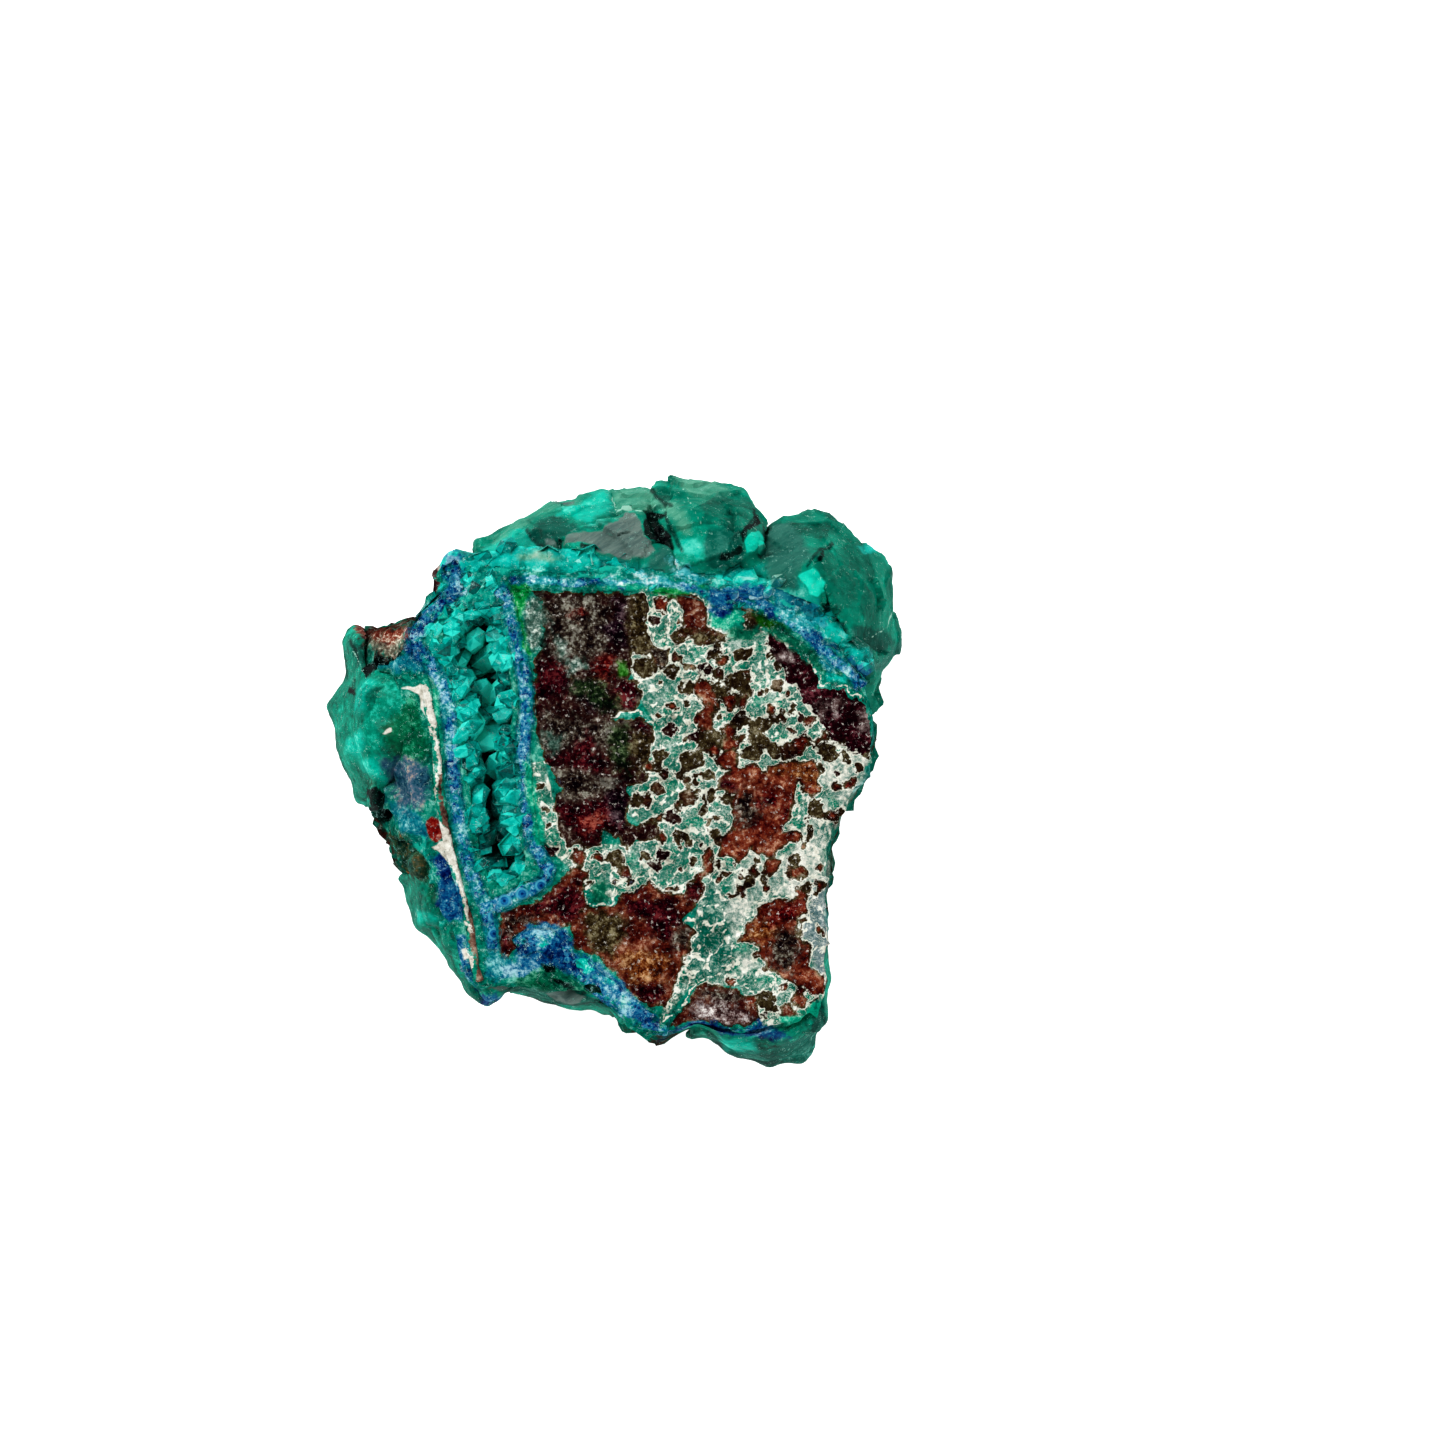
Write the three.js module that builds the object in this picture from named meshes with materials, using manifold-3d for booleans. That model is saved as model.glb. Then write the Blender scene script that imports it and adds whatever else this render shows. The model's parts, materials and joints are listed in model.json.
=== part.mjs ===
// Dioptase specimen: a hand-sized piece of copper ore that lies on its flat back with its broad face up.
//
// The face is a plane cut through an old vein. Brown ironstone windows lie in a teal copper silicate, a
// blue fibrous layer (shattuckite) frames an open hollow and runs along the top and the foot, and green
// dioptase has grown in the hollow, over the top edge and down the flanks.
//
// Units are millimetres. +X is to the right of the face, +Y towards its crest and +Z out of the face. The
// origin is the centre of the flat patch on the underside that the stone rests on.

import * as THREE from "three";
import { ConvexGeometry } from "three/addons/geometries/ConvexGeometry.js";
import { mergeVertices } from "three/addons/utils/BufferGeometryUtils.js";
import Module from "manifold-3d";

const wasm = await Module();
wasm.setup();

// ---------------------------------------------------------------------------------------------------
// Driving dimensions

const FACE_HEIGHT = 24; // from the underside to the broad face
const WAIST_HEIGHT = 12.5; // where the stone is widest
const GAP = 0.3; // clearance between two solids that touch
const BAND_HALF_WIDTH = 0.62; // of the blue layer, where the face cuts it
const BAND_PROUD = 0.28; // how far the blue layer stands above the face
const BAND_DEPTH = 1.6; // how deep the blue layer is modelled below the face
const WINDOW_DEPTH = 0.3; // of the brown windows, which lie lower than the teal between them
const HOLLOW_DEPTH = 6.5; // of the open hollow, from the face to its floor
const SPOKES = 58; // around the body

// ---------------------------------------------------------------------------------------------------
// Working with solids

// Merges a geometry's vertices by place and makes a solid of it.
function solid(geometry) {
  const bare = new THREE.BufferGeometry();
  bare.setAttribute("position", geometry.getAttribute("position"));
  if (geometry.index) bare.setIndex(geometry.index);
  const merged = mergeVertices(bare, 1e-4);
  return new wasm.Manifold(
    new wasm.Mesh({
      numProp: 3,
      vertProperties: new Float32Array(merged.getAttribute("position").array),
      triVerts: new Uint32Array(merged.index.array),
    }),
  );
}

// Turns a solid back into a named mesh.
function mesh(name, body, color, roughness) {
  const made = body.getMesh();
  const geometry = new THREE.BufferGeometry();
  geometry.setAttribute("position", new THREE.BufferAttribute(made.vertProperties, made.numProp));
  geometry.setIndex(new THREE.BufferAttribute(made.triVerts, 1));
  geometry.computeVertexNormals();
  const material = new THREE.MeshStandardMaterial({ color, roughness, metalness: 0 });
  const part = new THREE.Mesh(geometry, material);
  part.name = name;
  return part;
}

// The convex solid around some points.
function hull(points) {
  return solid(new ConvexGeometry(points.map((p) => new THREE.Vector3(...p))));
}

// An outline in the plane of the face, pulled from one height to another.
function slab(outline, low, high) {
  const shape = new THREE.Shape(outline.map(([x, y]) => new THREE.Vector2(x, y)));
  const geometry = new THREE.ExtrudeGeometry(shape, { depth: high - low, bevelEnabled: false });
  return solid(geometry.translate(0, 0, low));
}

function joined(solids) {
  return solids.reduce((all, one) => all.add(one));
}

// A closed solid through rings of points, which all have the same count and run the same way.
function loft(rings) {
  const count = rings[0].length;
  const middle = (ring) =>
    ring.reduce((sum, p) => sum.map((v, i) => v + p[i] / count), [0, 0, 0]);
  const points = [...rings.flat(), middle(rings[0]), middle(rings.at(-1))];
  const first = rings.length * count;
  const faces = [];
  for (let i = 0; i < count; i++) {
    const next = (i + 1) % count;
    faces.push(first, next, i);
    faces.push(first + 1, first - count + i, first - count + next);
    for (let ring = 0; ring < rings.length - 1; ring++) {
      const low = ring * count;
      const high = low + count;
      faces.push(low + i, low + next, high + next);
      faces.push(low + i, high + next, high + i);
    }
  }
  const geometry = new THREE.BufferGeometry();
  geometry.setAttribute("position", new THREE.Float32BufferAttribute(points.flat(), 3));
  geometry.setIndex(faces);
  return solid(geometry);
}

// ---------------------------------------------------------------------------------------------------
// Roughness that is the same on every run

// Random numbers from 0 to 1.
function dice(seed) {
  let state = seed;
  return () => {
    state = (state + 0x6d2b79f5) | 0;
    let t = Math.imul(state ^ (state >>> 15), 1 | state);
    t = (t + Math.imul(t ^ (t >>> 7), 61 | t)) ^ t;
    return ((t ^ (t >>> 14)) >>> 0) / 4294967296;
  };
}

// Smooth lumps from -1 to 1, about one unit across.
function lumps(x, y, z) {
  const corner = (i, j, k) => {
    const hash = Math.sin(i * 127.1 + j * 311.7 + k * 74.7) * 43758.5453;
    return 2 * (hash - Math.floor(hash)) - 1;
  };
  const [i, j, k] = [x, y, z].map(Math.floor);
  const [u, v, w] = [x - i, y - j, z - k].map((t) => t * t * (3 - 2 * t));
  const mix = (a, b, t) => a + (b - a) * t;
  const row = (dj, dk) => mix(corner(i, j + dj, k + dk), corner(i + 1, j + dj, k + dk), u);
  return mix(mix(row(0, 0), row(1, 0), v), mix(row(0, 1), row(1, 1), v), w);
}

// ---------------------------------------------------------------------------------------------------
// The body of the stone: an outline at its waist, one at the edge of its face, and a smaller foot

const WAIST = [
  [-23.3, 11.8], [-21.8, 12.4], [-18.1, 12.9], [-17, 13.1], [-15.7, 15.2], [-14.7, 18.4], [-13.1, 18.5],
  [-11.6, 19.3], [-6.1, 20.8], [1.1, 21.7], [5, 21.6], [8.4, 21], [11.3, 19.9], [14.3, 18.9], [16.9, 17.6],
  [19, 15.5], [20.5, 12.5], [21.7, 9.1], [22.3, 6.2], [22.1, 3.2], [21.9, 0.9], [20.2, -2.3], [18.5, -5.1],
  [18.3, -8.1], [17.9, -10.8], [18, -15.1], [18, -19.3], [16.9, -21.7], [13.9, -22.4], [10.5, -22.7],
  [7.5, -22.1], [4.7, -22.9], [2, -22.8], [0.3, -21.3], [-2.1, -20.4], [-4.8, -19.5], [-7.8, -18.9],
  [-9.9, -19], [-11.2, -19.7], [-12.8, -18.4], [-15, -14.9], [-17.6, -11.8], [-18, -9.8], [-19, -8.1],
  [-19.4, -6.1], [-20.6, -4], [-21.8, -2.3], [-23.1, 1.5], [-23.5, 6.2], [-22.7, 8.5], [-22.6, 10.2],
];
const FACE_EDGE = [
  [-15.7, 13.6], [-14.6, 15], [-14.3, 16.8], [-14.1, 18], [-12.4, 17.9], [-9.5, 17], [-4.8, 16.9],
  [0.3, 16.9], [5.4, 16.5], [8.8, 15.8], [13, 14.8], [16.4, 12.9], [19.4, 9.9], [21.8, 7], [21.9, 3.2],
  [21.4, 0.6], [19.5, -3], [18, -5.1], [17.9, -8.1], [17.5, -10.8], [17.8, -15.1], [17.7, -19.3],
  [16.3, -21], [13, -21.5], [10.1, -22], [6.2, -21.6], [3.9, -22.2], [1.8, -21.3], [-0.1, -19.8],
  [-2.2, -18.8], [-4.8, -18], [-8.2, -18], [-10.6, -18.5], [-11.8, -18.3], [-12.9, -16.1], [-14, -12.9],
  [-15.2, -9.1], [-16.3, -4.9], [-17, -0.6], [-17.4, 2.8], [-17.7, 6.2], [-18.2, 8.5], [-18, 10.2],
  [-17.2, 11.9],
];

// Levels of the body from the foot up: height, share of the way from the face's edge out to the waist,
// scale towards the middle, and how rough the side is there.
const LEVELS = [
  { height: 0, out: 1, scale: 0.62, rough: 0.2 },
  { height: 1.1, out: 1, scale: 0.73, rough: 0.8 },
  { height: 3.2, out: 1, scale: 0.83, rough: 1.3 },
  { height: 5.8, out: 1, scale: 0.91, rough: 1.5 },
  { height: 9, out: 1, scale: 0.97, rough: 1 },
  { height: WAIST_HEIGHT, out: 1, scale: 1, rough: 0 },
  { height: 15, out: 0.95, scale: 1, rough: 0.5 },
  { height: 17.6, out: 0.82, scale: 1, rough: 0.7 },
  { height: 20, out: 0.6, scale: 1, rough: 0.6 },
  { height: 22, out: 0.34, scale: 1, rough: 0.4 },
  { height: 23.3, out: 0.12, scale: 1, rough: 0.15 },
  { height: FACE_HEIGHT, out: 0, scale: 1, rough: 0 },
];

// How far an outline reaches from the middle in one direction.
function reach(outline, angle) {
  const [dx, dy] = [Math.cos(angle), Math.sin(angle)];
  let far = 0;
  outline.forEach(([ax, ay], i) => {
    const [bx, by] = outline[(i + 1) % outline.length];
    const [ex, ey] = [bx - ax, by - ay];
    const across = dx * ey - dy * ex;
    const along = (ax * ey - ay * ex) / across;
    const share = (ax * dy - ay * dx) / across;
    if (share >= 0 && share <= 1 && along > far) far = along;
  });
  return far;
}

// The body, made larger all round by grow, so that what is cut by it keeps that clearance.
function body(grow = 0) {
  const rings = LEVELS.map(({ height, out, scale, rough }) => {
    const lift = height === 0 ? -grow : height === FACE_HEIGHT ? grow : 0;
    return Array.from({ length: SPOKES }, (_, i) => {
      const angle = (2 * Math.PI * i) / SPOKES;
      const [edge, waist] = [reach(FACE_EDGE, angle), reach(WAIST, angle)];
      const plain = (edge + (waist - edge) * out) * scale;
      const [x, y] = [Math.cos(angle) * plain, Math.sin(angle) * plain];
      const bumps = lumps(x / 5, y / 5, height / 3.4) + 0.6 * lumps(x / 2, y / 2, height / 1.7);
      const radius = plain + Math.min(rough * bumps, rough * 0.45) + grow;
      return [Math.cos(angle) * radius, Math.sin(angle) * radius, height + lift];
    });
  });
  return loft(rings);
}

// ---------------------------------------------------------------------------------------------------
// The blue layer and the pale vein, which stand a little proud of the face

const VUG_BAND_LEFT = [
  [-14.2, 17.7], [-13.7, 16.8], [-13.7, 15.5], [-14.9, 14.4], [-16.2, 13.1], [-17, 11.8], [-16.8, 10.4],
  [-15.8, 9.2], [-14.8, 7.7], [-14.4, 6], [-14.2, 4.3], [-14, 2.6], [-13.9, 0.9], [-13.9, -0.8],
  [-13.6, -2.5], [-13.4, -4.2], [-13, -5.7], [-12.7, -7.3], [-12.3, -8.6], [-11.8, -10], [-11.1, -11.3],
  [-10.6, -13.4], [-10.5, -15],
];
const VUG_BAND_RIGHT = [
  [-9.9, 15.6], [-9.2, 13.8], [-8.8, 12.3], [-8.4, 10.6], [-8, 8.7], [-7.7, 6.8], [-7.6, 5.1], [-7.9, 3.4],
  [-8, 1.7], [-7.9, 0], [-7.8, -1.7], [-7.5, -3.4], [-7.3, -5.1], [-7.1, -6.2], [-6.3, -7.2], [-5.8, -8.1],
  [-5.9, -9], [-6.8, -9.7], [-8.1, -10.2], [-9.4, -11], [-10.8, -11.5],
];
const CREST_BAND = [
  [-8.9, 16.3], [-7.3, 16.4], [-4.8, 16.2], [-2.2, 16.2], [0.3, 16.1], [2.8, 16.1], [5.4, 15.9],
  [7.5, 15.2], [9.1, 14.6], [10.9, 14.5], [12.6, 14], [14.2, 13], [15.9, 11.9], [17.3, 10.7], [18.5, 9.6],
  [19.8, 8.4], [20.8, 7.2],
];
const FOOT_BAND = [
  [-8.4, -14.9], [-7.2, -14.2], [-6, -14.2], [-5, -15.1], [-3.8, -16.1], [-2.6, -17.1], [-1.2, -18.2],
  [0.1, -19.3], [1.7, -20.5], [3.2, -21.2], [4.4, -21.4],
];
const PALE_VEIN = [
  [-16.4, 7.9], [-16, 6.8], [-15.9, 5.3], [-15.6, 3.9], [-15.3, 2.3], [-15.2, 0.6], [-15.1, -1.1],
  [-14.9, -2.8], [-14.6, -4.5], [-14.3, -6.2], [-13.9, -7.6], [-13.5, -9.1], [-13.1, -10.6], [-12.7, -12.1],
  [-12.4, -13.5], [-12.3, -15.1], [-12, -16.6], [-11.6, -17.7],
];

// The outline of a strip along a route. Its width swells and narrows by a share of itself.
function strip(route, halfWidth, swell) {
  const sides = route.map(([x, y], i) => {
    const [ax, ay] = route[Math.max(i - 1, 0)];
    const [bx, by] = route[Math.min(i + 1, route.length - 1)];
    const length = Math.hypot(bx - ax, by - ay);
    const width = halfWidth * (1 + swell * lumps(x * 0.9, y * 0.9, 5));
    const [nx, ny] = [(-(by - ay) / length) * width, ((bx - ax) / length) * width];
    return [[x + nx, y + ny], [x - nx, y - ny]];
  });
  return [...sides.map(([left]) => left), ...sides.map(([, right]) => right).reverse()];
}

// A layer that stands in the face along one or more routes, made larger all round by grow.
function layer(routes, halfWidth, grow = 0) {
  const low = FACE_HEIGHT - BAND_DEPTH - grow;
  const high = FACE_HEIGHT + BAND_PROUD + grow * 4;
  return joined(routes.map((route) => slab(strip(route, halfWidth + grow, 0.22), low, high)));
}

const VEIN_HALF_WIDTH = 0.36;
const LAYERS = [
  { name: "shattuckite_vug_band", routes: [VUG_BAND_LEFT, VUG_BAND_RIGHT], width: BAND_HALF_WIDTH },
  { name: "shattuckite_crest_band", routes: [CREST_BAND], width: BAND_HALF_WIDTH * 1.1 },
  { name: "shattuckite_foot_band", routes: [FOOT_BAND], width: BAND_HALF_WIDTH * 1.5 },
  { name: "calcite_seam", routes: [PALE_VEIN], width: VEIN_HALF_WIDTH },
];

// Low round beads where the face cuts the blue layer's fibre balls, below the hollow.
const BEADS = [
  [-11.7, -10.1, 0.62], [-10.9, -12.4, 0.6], [-9.4, -11, 0.62], [-8.1, -10.3, 0.72], [-6.7, -9.7, 0.66],
  [-10.6, -14.2, 0.55],
];
const BEAD_SIDES = 8;
const BEAD_HEIGHT = 0.22;

function bead([x, y, radius]) {
  const ring = (r, z) =>
    Array.from({ length: BEAD_SIDES }, (_, i) => {
      const angle = (2 * Math.PI * i) / BEAD_SIDES;
      return [x + r * Math.cos(angle), y + r * Math.sin(angle), z];
    });
  const top = FACE_HEIGHT + BAND_PROUD;
  return hull([...ring(radius, top - 0.5), ...ring(radius, top), ...ring(radius * 0.5, top + BEAD_HEIGHT)]);
}

// ---------------------------------------------------------------------------------------------------
// Brown windows and round pits in the face

const WINDOWS = [
  [
    [-7.1, 15], [2, 14.9], [2.5, 14.3], [2.4, 12.5], [2, 10.4], [1.7, 9.1], [2.2, 7.7], [2.1, 5.7], [3.3, 4],
    [3, 2.3], [2.1, 0.9], [1.5, -1.5], [0.8, -3.4], [2.7, -4.2], [3.2, -5.6], [0.5, -6.2], [-0.9, -4.9],
    [-2.2, -6.2], [-4.5, -4.8], [-5.4, -2.3], [-5.9, 0.2], [-6.4, 4], [-6.9, 7.9], [-7.4, 11.2],
  ],
  [
    [2, -10.1], [4.1, -10.7], [5.6, -10.2], [7.3, -7.9], [8.2, -5.9], [8.5, -6.7], [7.9, -8.6], [7, -11.5],
    [5.7, -12.4], [6.4, -13.2], [6.7, -14.4], [6.1, -16.1], [4.4, -19.4], [2.9, -19.5], [1.2, -18.4],
    [-0.2, -16.7], [-1.7, -15.3], [-3, -14.4], [-3.4, -13.2], [-2.6, -11.4], [-0.4, -11.1],
  ],
  [
    [-9.3, -12.2], [-7.3, -11.3], [-5.1, -9.9], [-3.8, -8.6], [-2.8, -9.1], [-2.9, -11.2], [-3.4, -12.9],
    [-4.8, -12.2], [-6.5, -12.3], [-7.9, -13], [-9, -14.2], [-9.5, -15.5], [-9.8, -15.4],
  ],
  [
    [8.4, -0.6], [9.8, 0.6], [12.4, 0.9], [15.6, 0.8], [16.8, -0.3], [15.6, -1.7], [15.2, -3.4],
    [13.8, -6.4], [12.4, -7.1], [10.8, -6.4], [9.1, -7.3], [8.9, -5.7], [10, -2.8],
  ],
  [
    [9.9, -14.2], [12.4, -11], [14.3, -10.7], [16.1, -10.4], [14.7, -14], [16.6, -15.9], [17, -17.3],
    [17.1, -18.6], [16.4, -18.8], [13.4, -17.1], [12.4, -16.1], [11.9, -14.9],
  ],
  [[5.1, -20.6], [6.9, -18.3], [8.4, -17.7], [10.1, -18.5], [12.2, -20], [11.5, -20.8], [6.7, -20.9]],
  [
    [13, 11.1], [14, 10.8], [15.6, 9.4], [17.3, 7.5], [19.3, 5.8], [20.9, 4.6], [20.9, 2.3], [19.5, 3.3],
    [18.3, 3.8], [17.6, 5.8], [15.6, 6.8], [13.7, 9.4],
  ],
  [[5.2, 14.4], [7.4, 14], [7.9, 13.2], [9, 11.9], [7.3, 10.9], [5.9, 11.4], [5.4, 13.1]],
];

// Where the face is pitted: the lace between the windows.
const PITTED = [
  [2.9, 14], [4.8, 14.2], [6, 10.6], [10.5, 12], [13, 9], [16, 5.8], [19, 2.4], [18, -2.6], [16.6, -8],
  [16.8, -9.8], [10.5, -10.2], [9, -9], [6.2, -6], [4, -9], [1.6, -7.4], [3.6, -4], [2.8, -1], [4, 3], [3.4, 8],
];
const PIT_COUNT = 30;
const PIT_SIDES = 5;

function inside([x, y], outline) {
  let hit = false;
  outline.forEach(([ax, ay], i) => {
    const [bx, by] = outline[(i + 1) % outline.length];
    if (ay > y !== by > y && x < ax + ((bx - ax) * (y - ay)) / (by - ay)) hit = !hit;
  });
  return hit;
}

// What is taken out of the face so that an outline lies lower.
function sunken(outline) {
  return slab(outline, FACE_HEIGHT - WINDOW_DEPTH, FACE_HEIGHT + 1);
}

// Round pits, scattered so that no two touch and none opens into a window.
function pits() {
  const random = dice(7);
  const placed = [];
  for (let tries = 0; tries < 4000 && placed.length < PIT_COUNT; tries++) {
    const spot = [2 + 18 * random(), -11 + 26 * random()];
    const radius = 0.42 + 0.42 * random();
    const rim = Array.from({ length: PIT_SIDES }, (_, i) => {
      const angle = (2 * Math.PI * i) / PIT_SIDES + spot[0];
      const wide = radius * (0.85 + 0.3 * random());
      return [spot[0] + wide * Math.cos(angle), spot[1] + wide * Math.sin(angle)];
    });
    const free = placed.every((p) => Math.hypot(p.x - spot[0], p.y - spot[1]) > p.radius + radius + 0.3);
    const clear = rim.every((p) => inside(p, PITTED) && !WINDOWS.some((window) => inside(p, window)));
    if (free && clear) placed.push({ x: spot[0], y: spot[1], radius, rim });
  }
  return placed.map(({ rim }) => sunken(rim));
}

// ---------------------------------------------------------------------------------------------------
// The hollow between the two arms of the blue layer

const HOLLOW = [
  [-11.8, 14.3], [-10.4, 14.3], [-9.9, 12.8], [-9.6, 10.8], [-9.3, 8.9], [-9, 6.8], [-9, 4.8], [-9.2, 2.8],
  [-9.2, 0.2], [-9, -2.3], [-8.7, -4.5], [-8.3, -6.2], [-7.7, -7.6], [-8.4, -8.8], [-9.7, -9.4],
  [-10.5, -9.1], [-11.2, -7.8], [-11.6, -5.9], [-12.1, -4], [-12.3, -1.9], [-12.6, 0.6], [-12.7, 3.2],
  [-13, 5.7], [-13.4, 7.7], [-14.4, 8.9], [-15, 10.2], [-14.6, 11.8], [-13.6, 13.1], [-12.8, 13.8],
];

// An outline's points, counter-clockwise, each moved in by the same distance from the two sides it joins.
function inset(outline, distance) {
  const area = outline.reduce((sum, [ax, ay], i) => {
    const [bx, by] = outline[(i + 1) % outline.length];
    return sum + (ax * by - ay * bx);
  }, 0);
  const around = area < 0 ? outline.toReversed() : outline;
  return around.map(([x, y], i) => {
    const [ax, ay] = around.at(i - 1);
    const [bx, by] = around[(i + 1) % around.length];
    const [before, after] = [Math.hypot(x - ax, y - ay), Math.hypot(bx - x, by - y)];
    const [ux, uy] = [-(y - ay) / before, (x - ax) / before];
    const [vx, vy] = [-(by - y) / after, (bx - x) / after];
    const spread = Math.max(1 + ux * vx + uy * vy, 0.6);
    return [x + (distance * (ux + vx)) / spread, y + (distance * (uy + vy)) / spread];
  });
}

// The space of the hollow, made smaller all round by shrink. It narrows towards its floor.
function hollow(shrink = 0) {
  const ring = (taper, height) =>
    inset(HOLLOW, taper + shrink).map(([x, y]) => [x, y, height]);
  const floor = FACE_HEIGHT - HOLLOW_DEPTH + shrink;
  return loft([ring(0.7, floor), ring(0.3, floor + 2), ring(0, floor + 4), ring(0, FACE_HEIGHT + 2)]);
}

// ---------------------------------------------------------------------------------------------------
// Crystals

// A dioptase crystal: a six-sided prism with a three-faced cap, standing at a foot point along an axis.
// facing turns it about that axis, and slope is the steepness of its cap faces.
function crystal({ foot, axis, radius, length, facing = 0, slope = 0.95 }) {
  const points = [[0, 0, length]];
  for (let i = 0; i < 6; i++) {
    const angle = (Math.PI * i) / 3;
    const [x, y] = [radius * Math.cos(angle), radius * Math.sin(angle)];
    const drop = radius * slope * (i % 2 ? 0.5 : 1);
    points.push([x, y, 0], [x, y, length - drop]);
  }
  const turn = new THREE.Quaternion()
    .setFromUnitVectors(new THREE.Vector3(0, 0, 1), new THREE.Vector3(...axis).normalize())
    .multiply(new THREE.Quaternion().setFromAxisAngle(new THREE.Vector3(0, 0, 1), facing));
  return hull(
    points.map((p) => new THREE.Vector3(...p).applyQuaternion(turn).add(new THREE.Vector3(...foot)).toArray()),
  );
}

// The big crystals of the crest, each given by the corners of its faces, from left to right.
const CREST_BLOCKS = [
  // Left shoulder, two low blocks.
  [
    [-12.1, 19, 21.3], [-11.4, 19.8, 18.5], [-9.9, 20.5, 17.2], [-8, 21.6, 16.6], [-6.7, 20.6, 21],
    [-6.4, 18.9, 22.8], [-9.5, 18.1, 23.6], [-12, 18.2, 23], [-11.4, 19, 11], [-8.2, 20.4, 10.5], [-7, 18, 11],
  ],
  // The long ridge, a prism that leans up to the right.
  [
    [-8.9, 21.3, 15.5], [-5.5, 23.1, 14], [-3.1, 23.3, 14], [-1.3, 24, 13.5], [-0.8, 23.8, 15.5],
    [-0.2, 21.9, 19], [-1.4, 21.1, 20.6], [-3.5, 20.6, 20.6], [-6.1, 20.2, 20.2], [-8, 20.6, 18],
    [-7, 20.5, 8.5], [-1.5, 22.5, 8.5],
  ],
  // A dark block in the shade of the ridge.
  [
    [-7.3, 20.4, 20.4], [-6.6, 18.6, 22.6], [-4.3, 18.7, 22.4], [-4.6, 20.6, 20.8], [-6, 20.5, 15],
    [-5, 19, 14],
  ],
  // The broad grey face that leans back from the centre.
  [
    [-4.7, 18.9, 22], [-4.4, 20.5, 20.9], [-1.3, 21.2, 21.2], [2, 22.1, 20.6], [2.4, 20.6, 22.3],
    [4.4, 18.4, 23.7], [4.7, 17.3, 23.9], [-1.4, 17.9, 23.9], [-4, 19, 13], [2.5, 21.2, 12],
  ],
  // The wedge behind it.
  [
    [-1.1, 24, 13], [-0.1, 24.2, 12.5], [2, 24.5, 12.5], [2.9, 24, 13.5], [3.3, 22.9, 16.5],
    [2, 22.3, 19.4], [-0.2, 22, 19], [-0.5, 23, 8], [2.8, 23, 8],
  ],
  // The central crystal.
  [
    [2.9, 24, 15], [3.3, 24.8, 13.6], [4.6, 25, 13], [7.1, 24.8, 13], [9.5, 24.5, 13.4], [10.7, 24.1, 14.5],
    [11.5, 22.9, 17.2], [12.9, 21.1, 17.6], [12.5, 19.3, 21], [10.9, 18.2, 22.7], [8.8, 16.8, 23.9],
    [6.2, 17, 23.9], [4.7, 18, 23], [3.9, 20.2, 21.8], [3.3, 22.7, 18.6], [6.2, 22.4, 21.3], [9.2, 21.6, 21.8],
    [4.6, 22.8, 8], [10.6, 22, 8],
  ],
  // The right crystal's upper face.
  [
    [12.9, 20.9, 16], [14.6, 21.8, 14.8], [16.6, 22.2, 14], [18, 22.1, 14], [19.8, 20.6, 14.6],
    [20.8, 19.7, 15.2], [17.3, 18.4, 22.4], [14.7, 17, 23.4], [13, 15.9, 23.8], [12.6, 18, 21.8],
    [15.6, 14.9, 23.9], [17.3, 13.9, 23.9], [14, 20, 8], [19, 18.6, 8],
  ],
  // The right crystal's broad lower face.
  [
    [17.3, 18.5, 22.2], [20.8, 19.7, 15.4], [22.7, 18.3, 14.4], [23.1, 17.2, 14.2], [23.3, 15.5, 14.2],
    [23.5, 14.2, 14.2], [23.7, 11.2, 14], [22.4, 10.4, 19], [19.8, 11.2, 23.7], [18.5, 13.8, 23.9],
    [17.5, 16.3, 23.4], [21.5, 14.6, 20.8], [20, 17.4, 9], [21.6, 12, 9],
  ],
  // Chips at the right end.
  [
    [23.4, 14.2, 13.6], [23.9, 12.9, 13], [24.3, 12, 12.6], [24.1, 10.4, 12.8], [22.9, 8.3, 13.8],
    [22.4, 7, 14.8], [21.7, 7.1, 21], [20.7, 9.1, 23], [19.8, 10.4, 23.4], [22.6, 11, 18.5], [22.4, 12.5, 8.5],
    [21.6, 8, 8.5],
  ],
];
// Smaller prisms set in the creases of the crest and under its overhang, out of sight from the front.
const CREST_PRISMS = [
  { foot: [11.2, 18.9, 19.8], axis: [0.25, 0.2, 1], radius: 0.9, length: 2.6, facing: 0.3 },
  { foot: [16.6, 15.9, 21.4], axis: [-0.2, -0.3, 1], radius: 1.1, length: 2.5, facing: 0.1 },
  { foot: [-6.5, 17.5, 9.5], axis: [-0.3, 1, 0.25], radius: 1.9, length: 4.4, facing: 0.2 },
  { foot: [-2.8, 17.6, 8], axis: [0.1, 1, -0.1], radius: 2.2, length: 5.2, facing: 0.9 },
  { foot: [1.6, 18, 9.5], axis: [0.2, 1, 0.1], radius: 2.4, length: 5.2, facing: 0.4 },
  { foot: [5.6, 17.4, 7.6], axis: [-0.1, 1, -0.15], radius: 2.1, length: 5.6, facing: 0.1 },
  { foot: [9.6, 16.6, 9], axis: [0.25, 1, 0.05], radius: 2.5, length: 5.4, facing: 0.7 },
  { foot: [13.2, 14.6, 7.8], axis: [0.6, 1, -0.1], radius: 2.1, length: 5.6, facing: 0.3 },
  { foot: [16.6, 11.6, 9.4], axis: [1, 0.75, 0.05], radius: 2.3, length: 5.2, facing: 0.5 },
  { foot: [17.6, 8.2, 8.4], axis: [1, 0.3, -0.1], radius: 2, length: 4.7, facing: 0.8 },
];

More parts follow.
